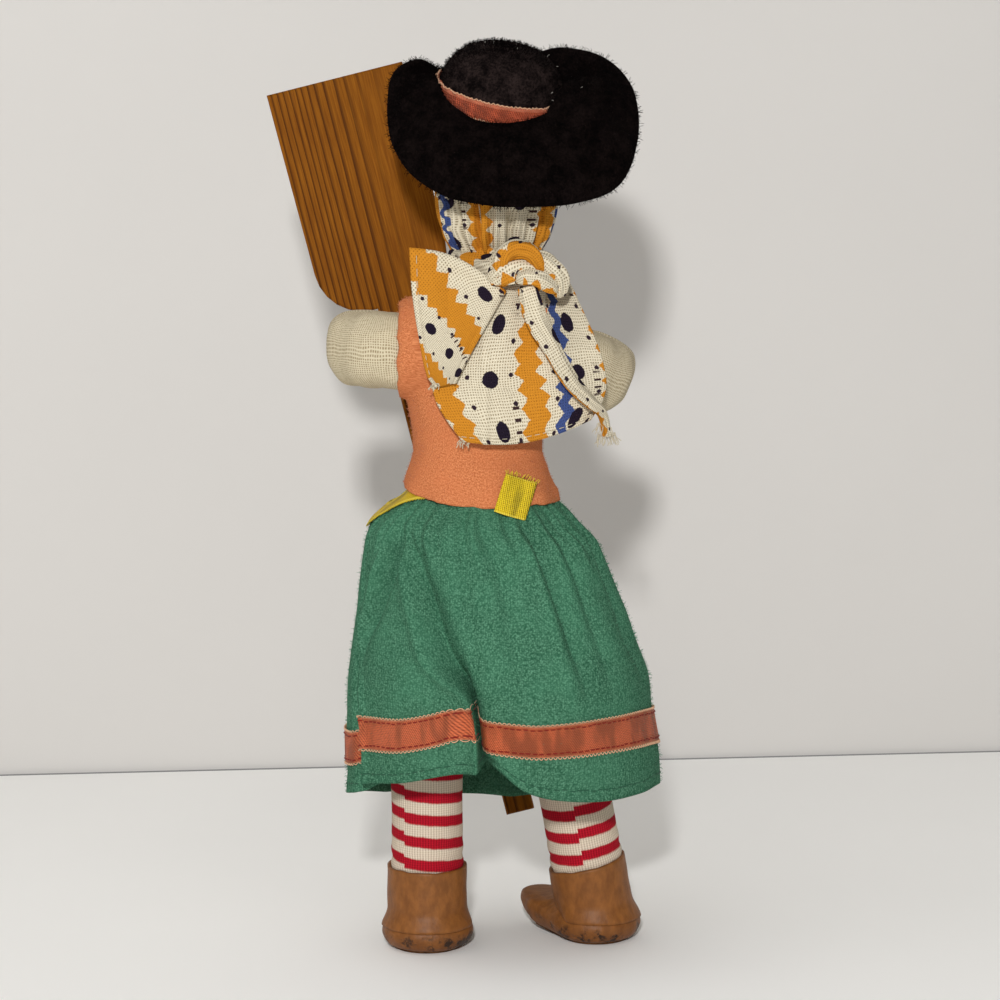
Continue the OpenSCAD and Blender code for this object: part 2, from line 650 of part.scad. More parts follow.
// Leg: hangs from the hip bar; the foot stands flat on the floor
// A leg is its hip's place, its slant outwards and how far its foot stands ahead
left_leg = [left_leg_x, 0, 0];
right_leg = [right_hip_x, right_leg_tilt, right_foot_y];
function leg_point(leg, z) =
    [leg[0] + (hip_z - z) * tan(leg[1]), leg[2] * (hip_z - z) / (hip_z - foot_h), z];
function leg_run(leg, z) = norm(leg_point(leg, z) - leg_point(leg, hip_z));
function leg_length(leg) = leg_run(leg, foot_h) + 4;
module leg_place(leg) {
    swing = atan(leg[2] / (hip_z - foot_h) * cos(leg[1]));
    translate([leg[0], 0, hip_z]) rotate([swing, -leg[1], 0]) children();
}
module above(z) {
    difference() {
        children();
        translate([-100, -100, z - 100]) cube([200, 200, 100]);
    }
}
function dome(r) = [for (i = [0:arc_steps]) let (a = 90 - 90 * i / arc_steps) [r * cos(a), r * sin(a)]];

hip_hole_r = wire_r + 0.25;
module hip_holes() {
    rotate([0, 90, 0]) cylinder(h = 40, r = hip_hole_r, center = true);
}

module leg_stuffing(leg) {
    r = leg_r - cloth_t - skin_in;
    long = leg_length(leg);
    color("ivory")
        above(foot_h)
            difference() {
                leg_place(leg)
                    difference() {
                        rotate_extrude() polygon(concat(dome(r), [[r, -long], [0, -long]]));
                        translate([0, 0, -long - 1]) cylinder(h = long, r = wire_r + bore_gap);
                        rotate([0, 90, 0])
                            cylinder(h = 2 * wire_r + 1.2, r = eye_r + 0.2, center = true);
                    }
                translate(leg_point(leg, hip_z)) hip_holes();
            }
}

module stocking(leg) {
    r = leg_r - cloth_t;
    long = leg_length(leg);
    color("crimson")
        above(foot_h)
            difference() {
                leg_place(leg)
                    rotate_extrude()
                        polygon(concat(dome(leg_r), [[leg_r, -long], [r, -long]], reversed(dome(r))));
                translate(leg_point(leg, hip_z)) hip_holes();
            }
}

weight_low = 0.9;
weight_high = 4.4;
weight_gap = 0.05;
module leg_wire(leg) {
    foot = leg_point(leg, weight_low + 0.6);
    hip = leg_point(leg, hip_z);
    along = (foot - hip) / norm(foot - hip);
    color("silver") {
        rod(hip + (eye_r - eye_weld) * along, foot, wire_r);
        translate(hip) rotate([0, 90, 0]) wire_eye();
    }
}

boot_gap = 0.05;
boot_t = 0.75;
module boot_tube(leg) {
    long = leg_length(leg);
    r = leg_r + boot_gap;
    color("peru")
        above(foot_h)
            leg_place(leg)
                difference() {
                    translate([0, 0, -long])
                        cylinder(h = long - leg_run(leg, boot_top), r = r + boot_t);
                    translate([0, 0, -long - 1]) cylinder(h = long, r = r);
                }
}

// Foot outline: round heel under the ankle, rounder toe ahead of it
heel_r = 9.2;
toe_r = 7.6;
toe_y = 11.4;
outline_step = 12;
toe_angle = acos((heel_r - toe_r) / toe_y);
function foot_arc(y, r, from, to) = [for (a = [from:outline_step:to]) [r * cos(a), y + r * sin(a)]];
function foot_outline(inset) = concat(
    foot_arc(toe_y, toe_r - inset, 90 - toe_angle, 90 + toe_angle),
    foot_arc(0, heel_r - inset, 90 + toe_angle, 450 - toe_angle));
function foot_ring(z, inset) = [for (p = foot_outline(inset)) [p[0], p[1], z]];
module foot_place(leg, turn) {
    at = leg_point(leg, foot_h);
    translate([at[0], at[1], 0]) rotate([0, 0, turn]) children();
}

sole_t = 0.85;
module sole(leg, turn) {
    color("sienna") foot_place(leg, turn) linear_extrude(sole_t) polygon(foot_outline(0));
}

upper_t = 0.9;
upper_round = 1.2;
upper_side = 3.4;
upper_edge = 0.7;
upper_top_in = 1.25;
module shoe_upper(leg, turn) {
    color("peru")
        difference() {
            foot_place(leg, turn)
            skin([foot_ring(weight_high + weight_gap, upper_t + upper_round),
                  foot_ring(weight_high - upper_round, upper_t), foot_ring(sole_t, upper_t),
                  foot_ring(sole_t, 0), foot_ring(upper_side, 0),
                  foot_ring(foot_h - upper_edge, upper_edge), foot_ring(foot_h, upper_top_in)]);
            leg_bore(leg);
        }
}

module foot_weight(leg, turn) {
    inset = upper_t + bore_gap;
    color("dimgray")
        difference() {
            foot_place(leg, turn)
                skin([foot_ring(sole_t + weight_gap, inset),
                      foot_ring(weight_high - upper_round - weight_gap, inset),
                      foot_ring(weight_high, inset + upper_round)]);
            leg_bore(leg);
        }
}
bore_top = 20;
module leg_bore(leg) {
    rod(leg_point(leg, weight_low + 0.5), leg_point(leg, bore_top), wire_r + wire_gap);
}

module left_leg_wire() { leg_wire(left_leg); }
module left_leg_stuffing() { leg_stuffing(left_leg); }
module left_stocking() { stocking(left_leg); }
module left_boot_tube() { boot_tube(left_leg); }
module left_shoe_upper() { shoe_upper(left_leg, 0); }
module left_foot_weight() { foot_weight(left_leg, 0); }
module left_sole() { sole(left_leg, 0); }
module right_leg_wire() { leg_wire(right_leg); }
module right_leg_stuffing() { leg_stuffing(right_leg); }
module right_stocking() { stocking(right_leg); }
module right_boot_tube() { boot_tube(right_leg); }
module right_shoe_upper() { shoe_upper(right_leg, right_foot_turn); }
module right_foot_weight() { foot_weight(right_leg, right_foot_turn); }
module right_sole() { sole(right_leg, right_foot_turn); }

// Peel: cut from one board, blade up, handle through the left hand
blade_low = 11.6;
blade_corner = 10;
blade_flare = 0.2;
handle_low = -99.5;
corner_step = 15;
function blade_side(s) = concat(
    [[s * handle_w / 2, blade_low]],
    [for (a = [-90:corner_step:0])
        [s * (blade_w / 2 - blade_flare - blade_corner * (1 - cos(a))),
         blade_low + blade_corner * (1 + sin(a))]],
    [[s * (blade_w / 2 + blade_flare), blade_low + blade_l]]);
module peel() {
    color("peru")
        translate(grip)
            rotate([0, -peel_lean, 0])
                rotate([90, 0, 0])
                    linear_extrude(peel_t, center = true)
                        polygon(concat([[-handle_w / 2, handle_low], [handle_w / 2, handle_low]],
                                       blade_side(1), reversed(blade_side(-1))));
}

translate(origin_shift) {
    spine_wire();
    body_stuffing();
    body_skin();
    bodice();
    skirt();
    skirt_ribbon();
    waist_ribbon();
    waist_tab();
    scarf_collar();
    scarf_knot();
    scarf_cape();
    scarf_flap();
    scarf_tail();
    head_stuffing();
    head_skin();
    eyes();
    nose();
    mouth();
    scarf_hood();
    hat_crown();
    hat_brim();
    hat_band();
    left_arm_wire();
    left_arm_stuffing();
    left_arm_skin();
    right_arm_wire();
    right_arm_stuffing();
    right_arm_skin();
    left_leg_wire();
    left_leg_stuffing();
    left_stocking();
    left_boot_tube();
    left_shoe_upper();
    left_foot_weight();
    left_sole();
    right_leg_wire();
    right_leg_stuffing();
    right_stocking();
    right_boot_tube();
    right_shoe_upper();
    right_foot_weight();
    right_sole();
    peel();
}
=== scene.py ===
# %% [markdown]
# # A cloth doll with a wooden peel
# The doll is a wire frame that was stuffed and then dressed: stockings and leather shoes, a wool skirt,
# a felt bodice, a printed scarf and a felt hat. The CAD frame already holds every piece in its place.
# This lesson dresses it: each step makes one garment, in the frame's own metres, and lets it ride on
# the body part that wears it.

# %% Open the frame
import random
from math import asin, atan2, copysign, cos, degrees, exp, hypot, pi, radians, sin, sqrt, tan

import bmesh
import bpy
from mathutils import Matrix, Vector, noise


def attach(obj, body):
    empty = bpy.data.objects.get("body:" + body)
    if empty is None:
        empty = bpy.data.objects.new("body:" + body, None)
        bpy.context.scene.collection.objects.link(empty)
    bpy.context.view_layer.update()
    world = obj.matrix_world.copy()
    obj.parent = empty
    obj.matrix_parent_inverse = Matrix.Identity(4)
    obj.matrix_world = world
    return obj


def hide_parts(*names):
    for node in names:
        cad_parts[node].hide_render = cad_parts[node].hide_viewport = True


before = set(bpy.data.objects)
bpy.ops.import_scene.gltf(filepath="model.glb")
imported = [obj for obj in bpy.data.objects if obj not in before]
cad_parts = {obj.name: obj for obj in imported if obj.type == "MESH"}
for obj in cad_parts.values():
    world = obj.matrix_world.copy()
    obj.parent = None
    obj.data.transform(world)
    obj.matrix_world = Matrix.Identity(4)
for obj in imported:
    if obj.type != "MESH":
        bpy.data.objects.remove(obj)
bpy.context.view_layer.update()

# %% [markdown]
# ## Working in millimetres
# A doll maker measures in millimetres from the doll's middle line. One small function turns such a
# place into the frame's metres, so that every number below can be read like a note on a sewing pattern.
# Directions round the doll are in degrees: 0 is its right side, 90 its front and 270 its back.

# %% Places
MM = 0.001
MIDDLE = Vector((3.5, -4.7, 0))
NECK_X = 3.8


def spot(x, y, z):
    return (Vector((x, y, z)) + MIDDLE) * MM


def centre(face):
    """The middle of a face, in millimetres from the doll's middle line."""
    return face.calc_center_median() / MM - MIDDLE


print("middle of the neck:", spot(NECK_X, 0, 141.5))

# %% [markdown]
# ## Camera, floor and light
# The doll is photographed from behind, a little from above, with a long lens and a soft lamp on the
# left. The floor and the wall behind it are plain pale boards. The wall can only be seen from its
# front, so that a camera behind it still sees the doll.

# %% Camera
camera = bpy.data.objects.new("camera", bpy.data.cameras.new("camera"))
bpy.context.scene.collection.objects.link(camera)
camera.data.lens = 108
camera.data.sensor_width = 36
camera.location = spot(4.4, -594.87, 169.72)
camera.rotation_euler = (radians(82.5), 0, 0)
bpy.context.scene.camera = camera
print("camera looks along +Y from", tuple(round(v, 3) for v in camera.location))


# %% Colours and finishes
def tone(red, green, blue):
    """A colour as a paint chip gives it, from 0 to 255, on the renderer's linear scale."""
    shares = [c / 255 for c in (red, green, blue)]
    return tuple(c / 12.92 if c < 0.04 else ((c + 0.055) / 1.055) ** 2.4 for c in shares) + (1,)


def shaded(colour, share):
    return tuple(c * share for c in colour)


class Coat:
    """A material built up in small steps. Each step gives back a socket for the next one to read."""

    def __init__(self, name, roughness, specular=0.5, sheen=0.0, where="UV"):
        self.finish = bpy.data.materials.new(name)
        self.finish.use_nodes = True
        self.tree = self.finish.node_tree
        self.shader = self.tree.nodes["Principled BSDF"]
        self.shader.inputs["Roughness"].default_value = roughness
        self.shader.inputs["Specular IOR Level"].default_value = specular
        self.shader.inputs["Sheen Weight"].default_value = sheen
        places = self.put("TexCoord").outputs
        self.where, self.flat = places[where], places["UV"]

    def put(self, kind, *values, **settings):
        """A shader node with its settings, and its inputs in order as sockets or plain values."""
        node = self.tree.nodes.new("ShaderNode" + kind)
        for setting, value in settings.items():
            setattr(node, setting, value)
        for socket, value in zip(node.inputs, values):
            if isinstance(value, bpy.types.NodeSocket):
                self.tree.links.new(value, socket)
            elif value is not None:
                socket.default_value = value
        return node

    def sums(self, work, *values):
        return self.put("Math", *values, operation=work).outputs[0]

    def plus(self, first, second):
        return self.sums("ADD", first, second)

    def times(self, first, second):
        return self.sums("MULTIPLY", first, second)

    def scaled(self, value, share, start):
        """A share of a value, added to a start."""
        return self.sums("MULTIPLY_ADD", value, share, start)

    def mix(self, share, first, second, way="MIX"):
        colours = [tone(*c) if isinstance(c, tuple) else c for c in (first, second)]
        skipped = [None] * 5
        return self.put("Mix", share, *skipped, *colours, data_type="RGBA", blend_type=way).outputs[2]

    def speckle(self, scale, detail=2.0, rough=0.5, where=None):
        node = self.put("TexNoise", self.where if where is None else where)
        node.inputs["Scale"].default_value = scale
        node.inputs["Detail"].default_value = detail
        node.inputs["Roughness"].default_value = rough
        return node.outputs["Fac"]

    def stretch(self, scale, turn=0.0):
        node = self.put("Mapping", self.where)
        node.inputs["Rotation"].default_value = (0, 0, turn)
        node.inputs["Scale"].default_value = scale
        return node.outputs[0]

    def steps(self, value, low, high):
        """From 0 to 1 while a value goes from low to high."""
        return self.put("MapRange", value, low, high, 0.0, 1.0, interpolation_type="SMOOTHSTEP").outputs[0]

    def cloth_ways(self):
        """The cloth's two directions in millimetres."""
        parts = self.put("SeparateXYZ", self.flat)
        return [self.times(parts.outputs[k], 1000.0) for k in (0, 1)]

    def strands(self, way, pitch):
        """1 on the middle of each thread and 0 between two threads."""
        return self.scaled(self.sums("COSINE", self.times(way, 2 * pi / pitch)), 0.5, 0.5)

    def done(self, colour, height=None, depth=0.0, strength=1.0):
        """Joins the colour and the fine relief to the shader, and gives back the material."""
        self.tree.links.new(colour, self.shader.inputs["Base Color"])
        if height is not None:
            bump = self.put("Bump")
            bump.inputs["Strength"].default_value = strength
            bump.inputs["Distance"].default_value = depth
            self.tree.links.new(height, bump.inputs["Height"])
            self.tree.links.new(bump.outputs[0], self.shader.inputs["Normal"])
        return self.finish


def plain_finish(name, shades, grain, roughness, specular=0.5, sheen=0.0, metal=0.0):
    """Two shades that follow a fine grain."""
    coat = Coat(name, roughness, specular, sheen, "Object")
    coat.shader.inputs["Metallic"].default_value = metal
    return coat.done(coat.mix(coat.speckle(*grain), *shades))


def thread_finish(name, colour, shine=0.2):
    return plain_finish(name, (shaded(colour, 0.8), colour), (4000, 1), 0.85, shine, 0.3 * shine)


print("red thread is", tuple(round(c, 3) for c in tone(170, 55, 35)))


# %% Floor and wall
ROOM_HALF, FLOOR_FRONT, WALL_HIGH = 1200, 1100, 1600
WALL_GAP = 1.6


def board(name, colour, corners):
    bm = bmesh.new()
    bmesh.ops.create_grid(bm, x_segments=1, y_segments=1, size=0.5)
    for vert in bm.verts:
        vert.co = corners(2 * ROOM_HALF * (vert.co.x + 0.5) - ROOM_HALF, vert.co.y + 0.5)
    mesh = bpy.data.meshes.new(name)
    bm.to_mesh(mesh)
    bm.free()
    coat = Coat(name, 1.0, 0.0, where="Object")
    shades = [tuple(c + step for c in colour) for step in (-3, 3)]
    mesh.materials.append(coat.done(coat.mix(coat.speckle(9, 3), *shades)))
    one_way = coat.put("MixShader", coat.put("NewGeometry").outputs["Backfacing"], coat.shader.outputs[0],
                       coat.put("BsdfTransparent").outputs[0])
    coat.tree.links.new(one_way.outputs[0], coat.tree.nodes["Material Output"].inputs["Surface"])
    piece = bpy.data.objects.new(name, mesh)
    bpy.context.scene.collection.objects.link(piece)


def wall_y(x):
    return 170 + 0.11 * x


def floor_y(x, v):
    return (FLOOR_FRONT + wall_y(x) - WALL_GAP) * v - FLOOR_FRONT


board("floor", (248, 247, 244), lambda x, v: spot(x, floor_y(x, v), 0))
board("wall", (218, 215, 211), lambda x, v: spot(x, wall_y(x), WALL_HIGH * v))
print("wall", wall_y(4.4), "mm behind the doll")


# %% Light
def lamp(name, place, aim, power, width):
    light = bpy.data.lights.new(name, "AREA")
    light.energy = power
    light.size = width
    holder = bpy.data.objects.new(name, light)
    bpy.context.scene.collection.objects.link(holder)
    holder.location = spot(*place)
    holder.rotation_euler = (spot(*aim) - holder.location).to_track_quat("-Z", "Y").to_euler()


lamp("window", (-500, -420, 1500), (0, 0, 60), 8.5, 1.8)
lamp("bulb", (-26, -704, 328), (0, 0, 110), 3.8, 0.035)
world = bpy.data.worlds.new("room")
world.use_nodes = True
world.node_tree.nodes["Background"].inputs["Color"].default_value = (1, 0.985, 0.965, 1)
world.node_tree.nodes["Background"].inputs["Strength"].default_value = 0.22
bpy.context.scene.world = world
bpy.context.scene.view_settings.view_transform = "Standard"
print("a wide window above, a small bulb just over the camera")

# %% [markdown]
# ## A length of cloth
# Almost every garment here is a piece of cloth that was cut flat and then bent into a tube, a cap or a
# panel. So one helper cuts a grid, notes the flat size as its UV map, and moves every point of it into
# place. The UV map is what the weave and the printed patterns follow, just as the threads do in real
# cloth.

# %% Cloth helpers
def cut_cloth(size, cols, rows, place, start=(0, 0), bias=0):
    """A grid whose points go where place(share across, share along) says, with the flat size as UV."""
    c, s = cos(radians(bias)), sin(radians(bias))
    bm = bmesh.new()
    bmesh.ops.create_grid(bm, x_segments=cols, y_segments=rows, size=0.5)
    uv = bm.loops.layers.uv.new("UVMap")
    for face in bm.faces:
        for corner in face.loops:
            x, y = [(corner.vert.co[k] + 0.5) * size[k] for k in (0, 1)]
            corner[uv].uv = (start[0] + x * c - y * s, start[1] + x * s + y * c)
    for vert in bm.verts:
        vert.co = spot(*place(vert.co.x + 0.5, vert.co.y + 0.5))
    bmesh.ops.remove_doubles(bm, verts=bm.verts, dist=2e-6)
    return bm


def cut_holes(bm, inside):
    bmesh.ops.delete(bm, geom=[face for face in bm.faces if inside(face)], context="FACES")


def face_away(bm, heart):
    """Turns all faces away from a place inside the piece, or outwards where the piece is closed."""
    if heart is None:
        bmesh.ops.recalc_face_normals(bm, faces=bm.faces)
        return
    heart = spot(*heart)
    outward = sum((f.calc_center_median() - heart).dot(f.normal) * f.calc_area() for f in bm.faces)
    if outward < 0:
        bmesh.ops.reverse_faces(bm, faces=bm.faces)


def thicken(bm, way):
    """Turns one flat face into a board, with all its faces outward."""
    pushed = bmesh.ops.extrude_face_region(bm, geom=bm.faces[:])["geom"]
    bmesh.ops.translate(bm, verts=[g for g in pushed if isinstance(g, bmesh.types.BMVert)], vec=way)
    bmesh.ops.recalc_face_normals(bm, faces=bm.faces)


def round_edges(bm, rims, offset, segments):
    bmesh.ops.bevel(bm, geom=rims, offset=offset * MM, offset_type="OFFSET", segments=segments, profile=0.5,
                    affect="EDGES", material=-1)


def make_piece(bm, heart, name, finish, body, stands_for=(), thick=0.0, side=-1.0):
    """The finished mesh as an object that rides on a body."""
    face_away(bm, heart)
    mesh = bpy.data.meshes.new(name)
    bm.normal_update()
    bm.to_mesh(mesh)
    bm.free()
    for face in mesh.polygons:
        face.use_smooth = True
    mesh.materials.append(finish)
    piece = bpy.data.objects.new(name, mesh)
    bpy.context.scene.collection.objects.link(piece)
    if thick:
        wall = piece.modifiers.new("thickness", "SOLIDIFY")
        wall.thickness = thick * MM
        wall.offset = side
    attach(piece, body)
    if stands_for:
        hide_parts(*stands_for)
    print(name, "has", len(mesh.polygons), "faces")
    return piece


def between(rows, at):
    """The columns of a table at a value of its first column, on a smooth curve through the rows."""
    at = min(max(at, rows[0][0]), rows[-1][0])
    k = max(i for i in range(len(rows) - 1) if rows[i][0] <= at)
    low, high = rows[k], rows[k + 1]
    before, after = rows[max(k - 1, 0)], rows[min(k + 2, len(rows) - 1)]
    span = high[0] - low[0]
    t = (at - low[0]) / span
    found = []
    for c in range(1, len(low)):
        start = (high[c] - before[c]) / (high[0] - before[0]) * span
        stop = (after[c] - low[c]) / (after[0] - low[0]) * span
        found.append((2 * t ** 3 - 3 * t ** 2 + 1) * low[c] + (t ** 3 - 2 * t ** 2 + t) * start
                     + (3 * t ** 2 - 2 * t ** 3) * high[c] + (t ** 3 - t ** 2) * stop)
    return found


def ease(value, low, high):
    """From 0 to 1, softly, while a value goes from low to high."""
    t = min(max((value - low) / (high - low), 0), 1)
    return t * t * (3 - 2 * t)


def bell(value, width):
    """1 at zero, falling away softly to both sides."""
    return exp(-(value / width) ** 2)


def wavy(seed, *place):
    """Even noise from -1 to 1 round a place."""
    return noise.noise(Vector(place) + Vector((seed * 7.3, seed * 3.1, seed * 5.7)))


def wavy_round(seed, turn, size, level):
    """The same noise round a ring, so that it meets itself after a full turn."""
    return wavy(seed, size * cos(turn), size * sin(turn), level)


def turn_between(a, b):
    return (a - b + 180) % 360 - 180


print("half way up a table:", between([[0, 1], [10, 3]], 5))


# %% Threads
def sew(name, runs, thick, finish, body):
    """Many threads as one piece: each run is a list of places."""
    curve = bpy.data.curves.new(name, "CURVE")
    curve.dimensions = "3D"
    curve.bevel_depth = thick / 2 * MM
    curve.bevel_resolution = 0
    for run in runs:
        thread = curve.splines.new("POLY")
        thread.points.add(len(run) - 1)
        for point, place in zip(thread.points, run):
            point.co = (*spot(*place), 1)
    curve.materials.append(finish)
    piece = bpy.data.objects.new(name, curve)
    bpy.context.scene.collection.objects.link(piece)
    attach(piece, body)
    print(name, "has", len(runs), "threads")
    return piece


# Share of the way along a loop, and of its height
POINTED = ((0.08, 0), (0.5, 1), (0.92, 0))
ROUNDED = ((0.08, 0), (0.3, 0.8), (0.5, 1), (0.7, 0.8), (0.92, 0))


def picots(place, level, reach, count, shape=POINTED, start=0, span=360):
    """Small loops along the edge of a ribbon; place(angle, level) says where they are."""
    return [[place(start + span * (k + share) / count, level + reach * rise) for share, rise in shape]
            for k in range(count)]


def jog(*reach):
    """A small random step in each direction."""
    return Vector([random.uniform(-r, r) for r in reach])


def frayed(start, heading, count, width, length):
    """Loose threads that hang from a cut edge."""
    runs = []
    for _ in range(count):
        run = [Vector(start) + jog(width, 0.4, 0.3)]
        way = Vector(heading) + jog(0.4, 0.2, 0.2)
        for _ in range(5):
            way = way + jog(0.3, 0.15, 0.2)
            run.append(run[-1] + way.normalized() * length * random.uniform(0.1, 0.25))
        runs.append(run)
    return runs


random.seed(14)
print("threads come out the same each time:", round(random.random(), 3))

# %% [markdown]
# ## The skirt
# The skirt is a tube of green napped wool, gathered under the bodice and falling in uneven folds to a
# turned hem. It could be simulated, but the folds of the real one are known, so each fold is written
# down: where it starts under the waist, where it ends at the hem, and how deep it is at both ends.

# %% Wool finish
coat = Coat("green_wool", 0.95, 0.05, where="Object")
curls = coat.put("TexVoronoi", coat.where)
curls.inputs["Scale"].default_value = 2300
curls.inputs["Randomness"].default_value = 0.7
curl = coat.sums("SUBTRACT", 1.0, curls.outputs["Distance"])
fleck = coat.scaled(curl, 0.35, coat.times(coat.speckle(2600, 4, 0.7), 0.8))
ground = coat.mix(coat.steps(fleck, 0.4, 0.9), (40, 84, 62), (100, 152, 123))
cloudy = coat.times(coat.steps(coat.speckle(110, 3, 0.55), 0.35, 0.75), 0.3)
wool = coat.done(coat.mix(cloudy, ground, (76, 134, 104)), fleck, 0.0004, 0.55)
print("napped wool")

# %% Skirt shape
HEM_Z, HEM_TILT, WAIST_Z, SKIRT_TALL = 31.6, 6.3, 90, 65.4
WOOL_THICK, MUSLIN_THICK, RIBBON_THICK, HIDE_THICK = 0.9, 0.4, 0.3, 0.7
# Height, middle, half of the width and half of the depth
skirt_sections = [[HEM_Z, 4.9, 31.9, 27.8], [38.6, 4.8, 31.7, 28], [47, 4.3, 31.1, 27.4],
                  [55, 3.8, 30.4, 26.6], [63, 3.1, 28.8, 25.2], [71, 2.4, 26.8, 23.6], [83, 0.6, 23.6, 20.2],
                  [87, -0.6, 20.6, 17.6], [WAIST_Z, -0.4, 17.7, 15], [93.6, 0, 13.9, 11.8],
                  [97, 0, 13.4, 11.4]]
# Direction under the waist and at the hem, depth at both, width, and which side overhangs
skirt_folds = [[190, 208.5, 0.05, 0.14, 3.4, 1], [300, 306, 0.17, 0, 6, -1], [343, 340, 0.12, 0, 6, 0],
               [10, 10, 0.06, 0.06, 8, 0], [42, 40, 0.06, 0.08, 8, 0], [92, 86, 0.06, 0.1, 8, 0],
               [120, 124, 0.05, 0.05, 7, 0], [148, 146, 0.06, 0.07, 8, 0], [172, 178, 0.06, 0.05, 7, 0],
               [276, 281, 0.08, 0, 4, 0], [260, 264, 0.07, 0, 3, 0], [316, 318, 0.08, 0, 4, 0],
               [66, 64, 0.04, 0.05, 7, 0]]
# The deep fold at the back: share of the way down, direction, depth, width
deep_fold = [[0, 226, 0.1, 8], [0.24, 239, 0.15, 8], [0.55, 251, 0.2, 7], [0.7, 257.5, 0.3, 4],
             [0.84, 259.5, 0.34, 3], [1, 261, 0.34, 4.4]]
# A second fold starts beside it and runs to the doll's left side
side_fold = [[0, 227, 0.1, 6], [0.08, 224, 0.22, 6], [0.34, 210, 0.13, 6], [0.46, 206, 0.05, 6],
             [0.7, 203, 0, 5], [1, 203, 0, 5]]
FOLD_SLIDE = 5
# How far the ribbon and the hem are drawn up in each direction
ribbon_lift = [[0, 2.8], [30, 1.2], [60, 0], [120, 0], [150, 0.6], [180, -0.8], [194, -1.9], [204.5, -1.8],
               [208.5, 0.9], [215, 1], [232, 0.7], [245, 1.8], [254, 3.2], [257, 3.4], [258.5, 2.9],
               [262, 0.9], [264.5, 0.5], [275, -0.1], [284, -0.4], [303, 0.4], [333, 2.1], [360, 2.8]]
edge_lift = [[0, 2.4], [30, 1], [60, 0], [120, 0], [150, 0.5], [180, 0.2], [204.5, 0.2], [208.5, 1.6],
             [215, 1.9], [232, 2], [247, 3.2], [258, 4.2], [262, 4.7], [265, 5], [268, 4.4], [271, 3.2],
             [275, 1.3], [280, -0.3], [290, -1.5], [307, -1.7], [330, 0], [345, 1.6], [360, 2.4]]


def fold_push(off, depth, over):
    """A valley; the side that overhangs is steeper and stands up as a ridge."""
    off *= 2.2 if off * over > 0 else 1
    return 0.25 * depth * abs(over) * bell(off - 2.2 * over, 1) - depth * exp(-abs(off) ** 1.5)


def skirt_swell(angle, fall):
    """How far the folds draw the cloth in, as a share of the radius."""
    swell = 0
    for at, depth, width in (between(deep_fold, fall), between(side_fold, fall)):
        swell += fold_push(turn_between(angle, at) / width, depth, -1)
    for top, foot, top_depth, foot_depth, width, over in skirt_folds:
        off = turn_between(angle, top + (foot - top) * min(1, (fall / 0.78) ** 1.3)) / width
        swell += fold_push(off, top_depth + (foot_depth - top_depth) * min(1, (fall / 0.72) ** 1.2), over)
    return swell * ease(fall, 0, 0.16)


def fold_slide(angle, fall):
    """How far the left side of the deep fold hangs over to the right, in degrees."""
    at, _, width = between(deep_fold, fall)
    off = turn_between(angle, at) / width
    return FOLD_SLIDE * ease(fall, 0.5, 0.72) * bell(off + 1.1, 0.8)


def skirt_spot(angle, z, out=0.0, gather=0.45):
    """A place on the skirt's outside."""
    middle, half_wide, half_deep = between(skirt_sections, z)
    fall = min(max((WAIST_Z - z) / (WAIST_Z - HEM_Z), 0), 1)
    grow = 1 + skirt_swell(angle, fall)
    turn = radians(angle + fold_slide(angle, fall))
    gathers = gather * ease(z, 76, 88) * (1 - 0.7 * ease(z, 89, 92))
    pucker = gathers * (sin(27 * turn + 3 * wavy(1, turn * 2, 0, 0)) + 0.7 * sin(43 * turn + 1.3))
    push = out + pucker + 0.4 * wavy_round(2, turn, 4, z / 9)
    lift, low_lift = between(ribbon_lift, angle % 360)[0], between(edge_lift, angle % 360)[0]
    lift = (lift + (low_lift - lift) * ease(fall, 0.84, 1)) * ease(fall, 0.35, 0.74)
    return (middle + (half_wide * grow + push) * cos(turn), (half_deep * grow + push) * sin(turn),
            z - HEM_TILT * fall * sin(turn) + lift)


skirt_cut = cut_cloth((0.21, 0.072), 480, 80, lambda u, v: skirt_spot(90 + 360 * u, HEM_Z + SKIRT_TALL * v))
skirt = make_piece(skirt_cut, (4, 0, 70), "skirt_cloth", wool, "torso", ("skirt",), WOOL_THICK)

# %% [markdown]
# ## Hem ribbon
# An orange woven ribbon is sewn round the skirt above its hem, with dark red stitches along both edges
# and small pale loops outside them. It follows every fold, so it is placed by the skirt's own function,
# lifted a little.

# %% Ribbon finish
def ribbon_finish(name, colour, shadow, edge, width, rib):
    coat = Coat(name, 0.5, 0.25)
    across, along = coat.cloth_ways()
    ribs = coat.strands(coat.scaled(along, 0.55, across), rib)
    ridges = coat.scaled(coat.strands(along, 0.36), 0.4, coat.times(ribs, 0.6))
    height = coat.scaled(coat.speckle(1900), 0.7, ridges)
    drag = coat.stretch((1, 0.25, 1), 0.45)
    # Pulls are slanted creases: they dent the relief, and their painted shade darkens the colour to half
    # further down.
    pull_and_shade = coat.steps(coat.speckle(330, where=drag), 0.4, 0.62)
    # Painted shade: where the ribs and the grain are low, the ribbon takes its shadow colour.
    ground = coat.mix(coat.steps(height, 0.3, 1.3), shadow, colour)
    ground = coat.mix(coat.times(coat.speckle(420, 3), 0.4), ground, shaded(colour, 0.82))
    ground = coat.mix(coat.times(pull_and_shade, 0.6), ground, shaded(colour, 0.5))
    middle = coat.sums("ABSOLUTE", coat.sums("SUBTRACT", along, width / 2))
    border = coat.times(coat.steps(middle, width / 2 - 0.4, width / 2 - 0.15), 0.6)
    return coat.done(coat.mix(border, ground, edge), coat.scaled(pull_and_shade, -1.2, height), 0.0003, 0.8)


RIBBON_LOW, RIBBON_W = HEM_Z + 8.4, 6.6
# Each ribbon has its own colour, a shadow colour that is painted shade for its low ribs, and a paler woven
# edge.
orange = ribbon_finish("orange_ribbon", (228, 118, 74), (128, 46, 27), (218, 140, 104), RIBBON_W, 0.44)
red_thread = thread_finish("red_thread", (140, 30, 22))
pale_loop = thread_finish("pale_loop", (240, 190, 152))
print("ribbon finish with slanted ribs")

